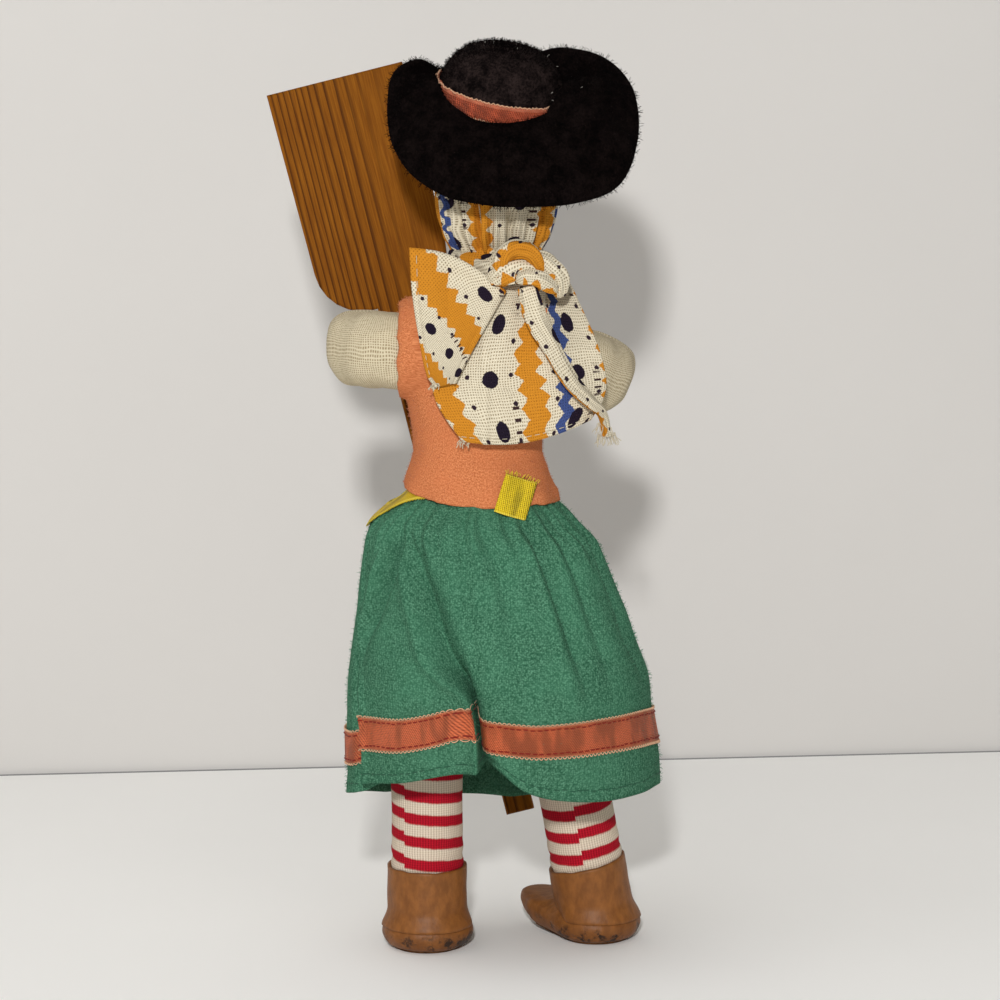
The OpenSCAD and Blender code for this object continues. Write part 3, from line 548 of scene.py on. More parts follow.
# %% Ribbon on the skirt
ribbon_cut = cut_cloth((0.192, RIBBON_W * MM), 480, 8,
                       lambda u, v: skirt_spot(90 + 360 * u, RIBBON_LOW + RIBBON_W * v, 0.45))
hem_ribbon = make_piece(ribbon_cut, (4, 0, 43), "hem_ribbon", orange, "torso",
                        ("skirt_ribbon",), RIBBON_THICK)


def row_of_stitches(count, z, gap, lift):
    runs = []
    for k in range(count):
        start = 360 * (k + random.uniform(-0.1, 0.1)) / count
        stop = start + 360 / count * gap
        level = z + random.uniform(-0.12, 0.12)
        runs.append([skirt_spot(start, level, lift - 0.12), skirt_spot((start + stop) / 2, level, lift),
                     skirt_spot(stop, level, lift - 0.12)])
    return runs


ribbon_rows = [row for z in (RIBBON_LOW + 0.75, RIBBON_LOW + RIBBON_W - 0.75)
               for row in row_of_stitches(150, z, 0.7, 0.55)]
sew("ribbon_stitches", ribbon_rows, 0.28, red_thread, "torso")
hem_thread = thread_finish("hem_thread", (42, 94, 69))
sew("hem_stitches", row_of_stitches(120, HEM_Z + 2.2, 0.75, 0.08), 0.24, hem_thread, "torso")
loop_rows = []
for level, reach in ((RIBBON_LOW, -0.45), (RIBBON_LOW + RIBBON_W, 0.35)):
    loop_rows += picots(lambda angle, z: skirt_spot(angle, z, 0.5), level, reach, 210, ROUNDED)
sew("ribbon_loops", loop_rows, 0.2, pale_loop, "torso")

# %% [markdown]
# ## The bodice
# The bodice is salmon felt without sleeves. Felt doesn't fray, so its edges are simply cut. It is a
# tube round the chest whose armholes reach out a little over the arms; the holes are made by deleting
# the faces over them.

# %% Felt finish
coat = Coat("salmon_felt", 0.95, 0.05)
fibre = coat.speckle(3200, 4, 0.75)
ground = coat.mix(coat.steps(fibre, 0.32, 0.7), (166, 86, 48), (222, 146, 98))
worn = coat.times(coat.steps(coat.speckle(190, 4, 0.6), 0.35, 0.75), 0.5)
salmon = coat.done(coat.mix(worn, ground, (198, 116, 74)), fibre, 0.00016, 0.35)
print("felt with short fibres")

# %% Bodice shape
SHOULDER_X, SHOULDER_Z, ARMHOLE_R = 13, 120.6, 8.2
# Only what is further out and higher up than this can be part of an armhole
SIDE_X, ARMPIT_Z = 6, 106
BODY_LOW, BODY_TALL, WAIST_TOP = 84, 57.5, 93.6
# Height, middle, half of the width and half of the depth
body_sections = [[BODY_LOW, 0, 18.6, 11], [87, 0, 17.2, 11], [90, 0, 15.2, 10.8], [WAIST_TOP, 0, 12.5, 10.4],
                 [97, 0, 12, 10], [102, 0, 11.9, 9.8], [108, 0, 12.6, 10.2], [114, 0, 13.6, 10.6],
                 [120, 0.2, 14, 10.8], [126, 0.8, 13, 10.2], [130, 1.7, 10.6, 8.8], [133, 3, 7.2, 7],
                 [135, NECK_X, 5.6, 5.6], [141.5, NECK_X, 5.6, 5.6]]
# How far the felt stands off the body at each height
bodice_spread = [[91, 2.9], [95, 1.9], [98, 1.1], [102, 0.1], [133, 0.1]]
# Height of the lower edge in each direction
bodice_edge = [[0, 91.3], [60, 92.4], [120, 94], [160, 95.2], [180, 94.8], [205, 94.2], [225, 93.2],
               [245, 92.4], [262, 91.8], [278, 91.7], [300, 91.8], [330, 91.6], [360, 91.3]]
BODICE_TOP = 132.4


def armhole_share(y, z):
    """1 on the armhole's edge, more outside it."""
    rise = max(z - SHOULDER_Z - 1.7, SHOULDER_Z - z, 0)
    return hypot(y, rise) / ARMHOLE_R


def bodice_spot(u, v):
    angle = 90 + 360 * u
    turn = radians(angle)
    low = between(bodice_edge, angle % 360)[0] + 0.35 * wavy_round(3, turn, 7, 0)
    z = low + (BODICE_TOP - low) * v
    middle, half_wide, half_deep = between(body_sections, max(z, WAIST_TOP))
    out = between(bodice_spread, z)[0] + 0.85 + 0.3 * wavy_round(4, turn, 3, z / 6)
    out += 0.4 * (1 - ease(z, 93, 97)) * sin(9 * turn + 1)
    x = middle + (half_wide + out) * cos(turn)
    y = (half_deep + out) * sin(turn)
    if abs(x) > SIDE_X and z > ARMPIT_Z:
        reach = 1 - ease(armhole_share(y, z), 1.02, 1.12 + 0.5 * ease(z, 112, 122))
        x += (copysign(15.6 + 0.6 * wavy(6, y / 3, z / 3, 0), x) - x) * reach
    return x, y, z


def in_armhole(face, share):
    x, y, z = centre(face)
    return abs(x) > SIDE_X and armhole_share(y, z) < share


bodice_cut = cut_cloth((0.082, 0.04), 180, 100, bodice_spot)
cut_holes(bodice_cut, lambda face: in_armhole(face, 1))
armhole_rims = [v for v in bodice_cut.verts if v.is_boundary and ARMPIT_Z < v.co.z / MM < 131]
bmesh.ops.smooth_vert(bodice_cut, verts=armhole_rims, factor=0.5,
                      use_axis_x=True, use_axis_y=True, use_axis_z=True)
bodice = make_piece(bodice_cut, (0, 0, 110), "bodice_felt", salmon, "torso", ("bodice",),
                    WOOL_THICK)

# %% [markdown]
# ## Stuffed body and arms
# Under the clothes the doll is a linen bag full of stuffing, and each arm is a linen tube bent forward
# at the elbow round its wire. A tube that is bent keeps its skin but not its shape: the inside of the
# bend wrinkles.

# %% Linen finish
coat = Coat("linen", 0.9, 0.1)
across, along = coat.cloth_ways()
sway = coat.times(coat.speckle(320, 3), 0.7)
warp = coat.strands(coat.plus(across, sway), 0.4)
weft = coat.strands(coat.plus(along, sway), 0.37)
height = coat.scaled(coat.speckle(1300, 3, 0.65), 0.6, coat.times(coat.sums("MAXIMUM", warp, weft), 0.7))
dust = coat.times(coat.steps(coat.speckle(60, 3), 0.45, 0.75), 0.4)
ground = coat.mix(coat.steps(height, 0.35, 1.05), (142, 126, 96), (208, 196, 168))
linen = coat.done(coat.mix(dust, ground, (190, 176, 144)), height, 0.0002, 0.45)
print("linen with slubs")

# %% Body
def body_spot(u, v):
    """A place on the linen bag, which reaches out to the armholes in a ring."""
    z = BODY_LOW + BODY_TALL * v
    middle, half_wide, half_deep = between(body_sections, z)
    turn = radians(90 + 360 * u)
    shrink = sin(pi / 2 * min(1, v / 0.03 + 0.02))
    x, y = middle + half_wide * shrink * cos(turn), half_deep * shrink * sin(turn)
    if abs(x) > SIDE_X and z > ARMPIT_Z:
        x += (copysign(14.6, x) - x) * (1 - ease(armhole_share(y, z), 0.97, 1.08))
    return x, y, z


body_cut = cut_cloth((0.08, 0.058), 120, 100, body_spot)
cut_holes(body_cut, lambda face: in_armhole(face, 0.62))
body = make_piece(body_cut, (0, 0, 110), "linen_body", linen, "torso", ("body_skin",))

# %% Arms
ELBOW_R, ELBOW_STEPS = 8, 7


def arm_line(straight, bend, reach, wrist, hand):
    """Distance outwards, distance forwards, heading, radius and share of the drop, one row for each step."""
    rows = [[-5.2, 0, 0, 5.2, 0], [-3.6, 0, 0, 6.5, 0], [-1.8, 0, 0, 7.2, 0], [0, 0, 0, 7.5, 0]]
    for k in range(ELBOW_STEPS + 1):
        heading = bend * k / ELBOW_STEPS
        a = radians(heading)
        rows.append([straight + ELBOW_R * sin(a), ELBOW_R * (1 - cos(a)), heading,
                     7.6 - 0.3 * k / ELBOW_STEPS, 0])
    outwards, forwards = rows[-1][:2]
    for along, radius, drop in ((0.45 * reach, 6.4, 0.5), (0.62 * reach, wrist, 0.7),
                                (0.8 * reach, 0.92 * hand, 0.85), (reach, hand, 1),
                                (reach + 0.5 * hand, 0.87 * hand, 1), (reach + 0.85 * hand, 0.53 * hand, 1),
                                (reach + hand, 0.01, 1)):
        rows.append([outwards + along * cos(a), forwards + along * sin(a), bend, radius, drop])
    return [[k] + row for k, row in enumerate(rows)]


def boxy(share, power):
    return copysign(abs(share) ** power, share)


def arm_spot(rows, side, slope, drop, u, v):
    outwards, forwards, heading, radius, dropped = between(rows, v * (len(rows) - 1))
    turn, head, tilt = radians(360 * u), radians(heading), radians(slope)
    seed = 5 + side
    crease = sin(v * 58 + 2 * wavy_round(seed, turn, 1, v * 4))
    radius += 0.3 * wavy_round(seed, turn, 2, v * 9)
    radius = max(radius + 0.2 * crease * (1 - ease(abs(v - 0.5), 0.05, 0.3)), 0.01)
    box = 1 - 0.25 * (1 - ease(v, 0.62, 0.8))
    round_out = radius * boxy(cos(turn), box)
    lift = radius * boxy(sin(turn), box) + 0.8 * ease(v, 0.12, 0.3)
    level = outwards - round_out * sin(head)
    ahead = forwards + round_out * cos(head)
    return (side * (SHOULDER_X + level * cos(tilt) + lift * sin(tilt)), ahead,
            SHOULDER_Z - level * sin(tilt) + lift * cos(tilt) - drop * dropped)


left_line = arm_line(2.2, 110, 21.6, 5.6, 6.6)
right_line = arm_line(3.5, 105, 13, 5.6, 6.2)
for label, rows, side, slope, drop in (("left", left_line, -1, 0, 3.5), ("right", right_line, 1, 25, 5)):
    arm_cut = cut_cloth((0.044, 0.055), 64, 120, lambda u, v: arm_spot(rows, side, slope, drop, u, v))
    arm = make_piece(arm_cut, (side * 14, 4, 119), label + "_arm_linen", linen, label + "_arm",
                     (label + "_arm_skin", label + "_arm_stuffing"))

# %% [markdown]
# ## Stockings
# The stockings are striped jersey knit, sewn into a tube with one seam. At the seam the stripes don't
# meet: they step by part of a stripe. So the stripe pattern reads the flat cut, where it runs at a
# slight slant.

# %% Knit finish
STRIPE = 4.66
STOCKING_GIRTH, STOCKING_TALL = 45.2, 83.3


def knit_finish(name, slant, shift):
    coat = Coat(name, 0.9, 0.1)
    across, along = coat.cloth_ways()
    uneven = coat.scaled(coat.speckle(400, 3), 0.5, shift - 0.25)
    column = coat.strands(across, 0.55)
    loop = coat.scaled(coat.sums("ABSOLUTE", coat.sums("SUBTRACT", column, 0.5)), 0.5, along)
    stripe = coat.plus(coat.scaled(across, slant / STOCKING_GIRTH, loop), uneven)
    band = coat.sums("FRACT", coat.sums("DIVIDE", stripe, STRIPE))
    red = coat.sums("SUBTRACT", coat.steps(band, 0.0, 0.06), coat.steps(band, 0.48, 0.54))
    height = coat.scaled(coat.strands(loop, 0.46), 0.5, coat.times(column, 0.6))
    cream = coat.mix(height, (180, 158, 136), (236, 222, 202))
    crimson = coat.mix(height, (126, 10, 24), (196, 26, 46))
    return coat.done(coat.mix(red, cream, crimson), height, 0.0002, 0.6)


print("stripes", STRIPE, "mm apart")

# %% Stocking tubes
HIP_Z, FOOT_Z, LEG_R = 82, 5.6, 7.2
LEG_TALL = HIP_Z - FOOT_Z
# Each leg: where its hip is, how far it leans outwards in degrees, and how far forwards its foot is
left_leg = (-10.4, 0, 0)
right_leg = (24 - LEG_TALL * tan(radians(10)), 10, 6.5)


def leg_spot(hip_x, tilt, ahead, z):
    return hip_x + (HIP_Z - z) * tan(radians(tilt)), ahead * (HIP_Z - z) / LEG_TALL


def stocking_spot(leg, seam, u, v):
    z = 5.8 + STOCKING_TALL * v
    x, y = leg_spot(*leg, min(z, HIP_Z))
    dome = sqrt(max(1 - (max(z - HIP_Z, 0) / LEG_R) ** 2, 0.0004))
    turn = radians(seam + 360 * u)
    radius = LEG_R + 0.16 * wavy_round(8, turn, 1.5, z / 7)
    radius += 0.2 * ease(26 - z, 0, 10) * sin(z * 1.9 + 2 * wavy_round(8, turn, 1, 1))
    aside, ahead = radius * dome * cos(turn), radius * dome * sin(turn)
    square = aside * tan(radians(leg[1])) + ahead * leg[2] / LEG_TALL
    return x + aside, y + ahead, z + ease(z, 6, 14) * square


for label, leg, seam, slant, shift in (("left", left_leg, 232, 4, -2.4), ("right", right_leg, 266, 0.9, 1.2)):
    stocking_cut = cut_cloth((STOCKING_GIRTH * MM, STOCKING_TALL * MM), 56, 130,
                             lambda u, v: stocking_spot(leg, seam, u, v))
    stocking = make_piece(stocking_cut, leg_spot(*leg, 45) + (45,), label + "_stocking_knit",
                          knit_finish(label + "_knit", slant, shift), label + "_leg",
                          (label + "_stocking",))

# %% [markdown]
# ## Leather shoes
# Each shoe is soft tan leather: a straight ankle tube, and below a seam a foot cover that bulges over a
# thin sole. The leather is old, so it has fine creases and a dark worn edge at the sole.

# %% Leather finish
coat = Coat("tan_leather", 0.5, 0.3, where="Object")
grain = coat.speckle(620, 4, 0.6, coat.stretch((1, 1, 0.5)))
low = coat.steps(coat.put("SeparateXYZ", coat.where).outputs[2], 0.0048, 0.0026)
worn = coat.times(low, coat.steps(coat.speckle(330, 5, 0.7), 0.5, 0.62))
ground = coat.mix(coat.steps(grain, 0.25, 0.78), (114, 67, 26), (143, 89, 39))
ground = coat.mix(coat.times(low, 0.35), ground, (98, 56, 24))
height = coat.scaled(worn, -1.5, coat.scaled(coat.speckle(2600), 0.4, grain))
leather = coat.done(coat.mix(worn, ground, (48, 29, 16)), height, 0.00025, 0.45)
coat = Coat("sole_leather", 0.7, 0.2, where="Object")
scuff = coat.speckle(420, 4, 0.7)
ground = coat.mix(coat.steps(scuff, 0.3, 0.7), (48, 29, 15), (104, 66, 34))
sole_leather = coat.done(ground, scuff, 0.0002, 0.6)
cast_metal = plain_finish("cast_metal", ((84, 84, 86), (136, 136, 138)), (900, 4), 0.55, metal=1.0)
print("leather, worn towards the sole")

# %% Shoe shapes
HEEL_R, TOE_R, TOE_Y, ANKLE_R = 9.2, 7.2, 11.8, 8.1
# Share of the way round from the sole to the seam, distance inside the outline, height
foot_profile = [[0, 2.6, 0.2], [0.14, 1.1, 0.9], [0.3, 0.2, 2.1], [0.45, -0.1, 3.3], [0.6, 0.2, 4.5],
                [0.75, 0.7, 5.3], [1, 1.4, 6]]


def foot_reach(angle):
    """Distance from the ankle to the foot's outline in a direction; 90 degrees is the toe."""
    turn = radians(angle)
    ahead, aside = TOE_Y * sin(turn), TOE_Y * cos(turn)
    toe = ahead + sqrt(max(TOE_R ** 2 - aside ** 2, 0)) if ahead > 0 and abs(aside) < TOE_R else 0
    side = abs(turn_between(angle, 90))
    if side >= 90:
        return HEEL_R
    taper = (HEEL_R - 1.6 * ease(90 - side, 0, 55)) / max(sin(radians(side)), 0.5)
    return max(toe, min(taper, toe + 4) if toe else taper)


def shoe_place(leg, turn, x, y):
    at_x, at_y = leg_spot(*leg, FOOT_Z)
    c, s = cos(radians(turn)), sin(radians(turn))
    x *= 1 - 0.2 * ease(y, 3, 18)
    return at_x + x * c - y * s, at_y + x * s + y * c


def toe_rise(toe, y):
    """How far the sole lifts off the floor towards the toe."""
    return toe * ease(y, -3, 20) ** 1.5


def foot_spot(leg, turn, toe, u, v):
    angle = 360 * u - 90
    inside, z = between(foot_profile, v)
    a = radians(angle)
    vamp = ease(v, 0.6, 1)
    distance = (1 - vamp) * (foot_reach(angle) - inside) + vamp * (ANKLE_R - 0.25)
    distance += 0.2 * wavy_round(12, a, 3, v * 3)
    x, y = distance * cos(a), distance * sin(a)
    rise = z + 1.8 * vamp * ease(sin(a), 0.1, 1) + toe_rise(toe, y) * (1 - vamp)
    return shoe_place(leg, turn, x, y) + (rise,)


def ankle_spot(leg, turn, tall, u, v):
    a = radians(360 * u + turn - 90)
    ragged = 0.3 * wavy_round(11, a, 3, 0)
    lean = 1.3 * ANKLE_R * cos(a) * tan(radians(leg[1]))
    z = 4.6 + (tall + ragged + lean) * v
    x, y = leg_spot(*leg, z)
    heel = 1 - ease(sin(a - radians(turn)), -0.2, 0.5)
    radius = ANKLE_R + 0.15 * wavy_round(12, a, 2, z / 3) + 1.25 * heel * (1 - ease(z, 4.4, 8.4))
    return x + radius * cos(a), y + radius * sin(a), z


def cut_sole(leg, turn, toe, inside, low, thick):
    bm = bmesh.new()
    bmesh.ops.create_circle(bm, segments=72, radius=1, cap_ends=True)
    for vert in bm.verts:
        a = atan2(vert.co.y, vert.co.x)
        reach = foot_reach(degrees(a)) - inside
        x, y = reach * cos(a), reach * sin(a)
        vert.co = spot(*shoe_place(leg, turn, x, y), low + toe_rise(toe, y))
    thicken(bm, (0, 0, thick * MM))
    round_edges(bm, [e for e in bm.edges if len({round(f.normal.z) for f in e.link_faces}) == 2], 0.2, 2)
    return bm


for label, leg, turn, toe, tall in (("left", left_leg, 0, 1, 12.2), ("right", right_leg, 47, 2.6, 11.4)):
    middle = leg_spot(*leg, 8)
    ankle_cut = cut_cloth((0.0503, 0.0106), 72, 24, lambda u, v: ankle_spot(leg, turn, tall, u, v))
    foot_cut = cut_cloth((0.062, 0.009), 120, 30, lambda u, v: foot_spot(leg, turn, toe, u, v))
    sole_cut = cut_sole(leg, turn, toe, 2.2, 0, 0.8)
    plate_cut = cut_sole(leg, turn, toe, 3.2, 0.9, 2)
    for cut, heart, name, finish, slot, node, thick in (
            (ankle_cut, middle + (10,), "_ankle_leather", leather, "leather_tan", "_boot_tube", HIDE_THICK),
            (foot_cut, middle + (3,), "_foot_leather", leather, "leather_tan", "_shoe_upper", HIDE_THICK),
            (sole_cut, None, "_sole_leather", sole_leather, "leather_sole", "_sole", 0),
            (plate_cut, None, "_foot_plate", cast_metal, "foot_metal", "_foot_weight", 0)):
        make_piece(cut, heart, label + name, finish, label + "_leg", (label + node,), thick)

# %% [markdown]
# ## The peel
# A baker's peel is one flat board: a blade with rounded lower corners and a straight handle. Its
# outline is drawn once, thickened, and its edges are rounded, and its UV map keeps the way of the
# grain.

# %% Wood finish
coat = Coat("peel_wood", 0.6, 0.06)
across, _ = coat.cloth_ways()
stretched = coat.stretch((1, 0.03, 1))
fine = coat.speckle(3600, 4, 0.6, stretched)
wander = coat.scaled(coat.speckle(160, where=stretched), 2.4, across)
ring = coat.sums("FRACT", coat.scaled(coat.times(wander, wander), 0.017, coat.times(wander, -0.5)))
lines = coat.times(coat.steps(ring, 0.5, 0.97), coat.steps(ring, 1.0, 0.97))
clear = coat.scaled(coat.steps(wander, 7.0, -1.0), 0.6, 0.25)
ground = coat.mix(coat.steps(fine, 0.25, 0.8), (110, 60, 6), (144, 88, 18))
ground = coat.mix(coat.times(lines, clear), ground, (60, 28, 4))
wood = coat.done(ground, coat.scaled(lines, -0.5, fine), 0.0002, 0.4)
print("wood with straight grain")

# %% Peel shape
GRIP = (-15.33, 31.03, 117.1)
LEAN = radians(14)
BLADE_LOW, BLADE_L, BLADE_HALF, BLADE_CORNER, BLADE_FLARE = 11.6, 48.2, 14.2, 10, 0.2
HANDLE_HALF, HANDLE_END, BOARD_HALF = 3, -99.5, 1.7
peel_half = [(HANDLE_HALF, HANDLE_END), (HANDLE_HALF, BLADE_LOW)]
for k in range(7):
    a = radians(-90 + 15 * k)
    peel_half.append((BLADE_HALF - BLADE_FLARE - BLADE_CORNER * (1 - cos(a)),
                      BLADE_LOW + BLADE_CORNER * (1 + sin(a))))
peel_half.append((BLADE_HALF + BLADE_FLARE, BLADE_LOW + BLADE_L))
peel_outline = peel_half + [(-x, z) for x, z in reversed(peel_half)]
peel_cut = bmesh.new()
peel_cut.faces.new([peel_cut.verts.new((x * MM, -BOARD_HALF * MM, z * MM)) for x, z in peel_outline])
thicken(peel_cut, (0, 2 * BOARD_HALF * MM, 0))
round_edges(peel_cut, [e for e in peel_cut.edges if abs(e.verts[0].co.y - e.verts[1].co.y) < 1e-6], 0.55, 3)
grain_map = peel_cut.loops.layers.uv.new("UVMap")
for face in peel_cut.faces:
    for corner in face.loops:
        corner[grain_map].uv = (corner.vert.co.x + 0.35 * corner.vert.co.y, corner.vert.co.z)
for vert in peel_cut.verts:
    x, y, z = vert.co / MM
    vert.co = spot(GRIP[0] + x * cos(LEAN) - z * sin(LEAN), GRIP[1] + y,
                   GRIP[2] + x * sin(LEAN) + z * cos(LEAN))
peel = make_piece(peel_cut, None, "peel_board", wood, "peel", ("peel",))
for face in peel.data.polygons:
    face.use_smooth = face.area < 2e-5

# %% [markdown]
# ## The hat
# The hat is thick black wool felt, wetted and shaped by hand: a round crown, and a brim that hangs at
# the back and curls up at both sides. The brim's edge is a list of places, and the felt runs from the
# crown to that edge in a curve that starts at the slope given with each place.

# %% Black felt finish
def felt_finish(name, dark, light):
    coat = Coat(name, 0.95, 0.02, where="Object")
    height = coat.scaled(coat.speckle(330, 3, 0.6), 0.9, coat.speckle(1900, 4, 0.75))
    return coat.done(coat.mix(coat.steps(height, 0.7, 1.3), dark, light), height, 0.0007, 0.9)


brim_finish = felt_finish("black_felt", (3, 2, 2), (24, 17, 16))
# The crown is the same black felt as the brim, painted lighter: painted light and sheen from above.
crown_painted_light_finish = felt_finish("crown_felt_painted_lit", (10, 7, 7), (50, 40, 38))
print("thick felt")

# %% Crown and brim
HAT_AT = Vector((4.4, -0.6, 169.6))
HAT_TILT, HAT_ROLL = radians(16), radians(7)
CROWN_R, CROWN_H, CROWN_POWER = 12.8, 12, 0.62


def hat_spot(x, y, z):
    """A place given from the middle of the crown's lower edge."""
    back = y * cos(HAT_TILT) - z * sin(HAT_TILT)
    up = y * sin(HAT_TILT) + z * cos(HAT_TILT)
    return HAT_AT + Vector((x * cos(HAT_ROLL) + up * sin(HAT_ROLL), back,
                            up * cos(HAT_ROLL) - x * sin(HAT_ROLL)))


def crown_radius(rise):
    return CROWN_R * max(cos(rise), 0) ** CROWN_POWER


def crown_dent(turn, rise):
    return 0.35 * wavy_round(20, turn, 2, rise / (pi / 4)) * cos(rise)


def crown_spot(u, v):
    rise, turn = radians(90 * v), radians(360 * u)
    radius = crown_radius(rise) + crown_dent(turn, rise)
    return hat_spot(radius * cos(turn), radius * sin(turn), CROWN_H * sin(rise))


in_crown = tuple(hat_spot(0, 0, 3))
crown = make_piece(cut_cloth((0.08, 0.02), 96, 40, crown_spot), in_crown, "crown_felt_painted_lit", crown_painted_light_finish, "head",
                   ("hat_crown",), 1.2)
# One row for every 20 degrees: a place on the brim's edge, and the slope at which the felt leaves the crown
BRIM_STEP = 20
brim_edge = [[30.2, 1, 172, 10], [25.6, 7.5, 178, 20], [18.5, 12.5, 180.4, 28], [13.4, 15.6, 180, 26],
             [7, 19, 176.6, 14], [0.4, 19, 174.4, 8], [-5.4, 15, 173, 12], [-8.9, 9, 176.4, 30],
             [-12.2, 4.4, 177.8, 30], [-16.3, -0.6, 174.6, 12], [-16.6, -6.5, 165.6, -10],
             [-13.4, -13, 158, -35], [-7, -18.8, 153.2, -44], [0.6, -21.8, 151.4, -46],
             [9.4, -22.4, 150.9, -44], [19, -20.6, 151.5, -34], [27, -14.6, 154.4, -18], [30.6, -6, 163, -2]]
# Height on the crown at which the brim leaves it, in each direction
brim_root = [[0, 6], [20, 4], [40, 1.6], [60, 0.6], [90, 0.5], [130, 0.6], [150, 0.8], [170, 2], [180, 3.4],
             [190, 4.2], [200, 4.3], [206, 3.7], [217, 2.6], [225, 1.9], [239, 0.9], [250, 0.1], [262, -0.2],
             [275, 0], [290, 0.8], [305, 1.6], [313, 2.4], [319, 4], [325, 5.2], [335, 6], [345, 6.4],
             [360, 6]]
BRIM_HALF, BRIM_FLAT = 1.15, 0.96
# Share of the cut that each side of the brim takes; the rest goes round its edge
BRIM_SIDE = 0.45


def brim_line(angle, t):
    """A place in the middle of the brim's felt, and its upward direction and its outward direction there."""
    n = len(brim_edge)
    step = angle / BRIM_STEP % n
    k = int(step)
    p, q, r, s = (Vector(brim_edge[(k + i) % n]) for i in (-1, 0, 1, 2))
    f = step - k
    edge = q + 0.5 * f * (r - p + f * (2 * p - 5 * q + 4 * r - s + f * (3 * (q - r) + s - p)))
    slope, turn = radians(edge[3]), radians(angle)
    root = between(brim_root, angle % 360)[0]
    reach = crown_radius(asin(root / CROWN_H)) + 0.9
    start, stop = hat_spot(reach * cos(turn), reach * sin(turn), root), Vector(edge[:3])
    span = stop - start
    out = Vector((span.x, span.y, 0)).normalized()
    middle = start + 0.5 * span.length * (cos(slope) * out + Vector((0, 0, sin(slope))))
    place = (1 - t) ** 2 * start + 2 * t * (1 - t) * middle + t * t * stop
    along = ((1 - t) * (middle - start) + t * (stop - middle)).normalized()
    return place, along.cross(Vector((-out.y, out.x, 0))).normalized(), along


def brim_spot(u, v):
    """Across the felt: the underside first, round the edge, and back on the upper side."""
    near = min(v, 1 - v)
    t = min(near / BRIM_SIDE, 1)
    place, up, along = brim_line(360 * u, BRIM_FLAT * t)
    if t < 1:
        place = place + up * copysign(BRIM_HALF * min(1, 0.6 + 3 * t), v - 0.5)
    else:
        round_turn = pi * (v - 0.5) / (1 - 2 * BRIM_SIDE)
        place = place + BRIM_HALF * (cos(round_turn) * along + sin(round_turn) * up)
    return place + up * 0.35 * wavy_round(22, radians(360 * u), 4, 3 * near)


brim = make_piece(cut_cloth((0.13, 0.045), 240, 60, brim_spot), None, "brim_felt", brim_finish, "head",
                  ("hat_brim",))

# %% Hat band
BAND_LOW, BAND_W = 0.7, 3.6
# The band's second colour is painted shade for its low ribs, and its pulls are darkened as painted shade too.
band_orange = ribbon_finish("hat_band_ribbon", (206, 96, 62), (96, 30, 20), (206, 124, 92), BAND_W, 0.46)


def band_place(angle, z, out=0.7):
    """A place on the band, which sits lower on the right and is sunk into the felt behind the brim."""
    turn = radians(angle)
    z -= 0.65 * (1 + cos(turn)) - 0.9 * ease(cos(turn), 0.75, 1)
    out -= 1.15 * ease(between(brim_root, angle % 360)[0] - z, 0, 1)
    crease = 0.25 * sin(26 * turn + 4 * z + 3 * wavy_round(23, turn, 2, z / 4))
    rise = asin(z / CROWN_H)
    radius = crown_radius(rise) + out + crease + crown_dent(turn, rise)
    return hat_spot(radius * cos(turn), radius * sin(turn), z)


band_cut = cut_cloth((0.083, 0.004), 200, 8, lambda u, v: band_place(360 * u, BAND_LOW + BAND_W * v, 0.55))
make_piece(band_cut, in_crown, "hat_band_satin", band_orange, "head", ("hat_band",),
           RIBBON_THICK)
band_loops = picots(band_place, BAND_LOW + 0.3, -0.5, 92) + picots(band_place, BAND_LOW + BAND_W, 0.25, 92)
sew("band_loops", band_loops, 0.2, pale_loop, "head")

# %% [markdown]
# ## The printed scarf
# The scarf is thin open muslin with a block print: rows of ochre zigzags, dark round spots, dots and
# dashes. It goes over the head as a hood, round the neck in a roll, and is knotted at the back, where
# its corners hang down.

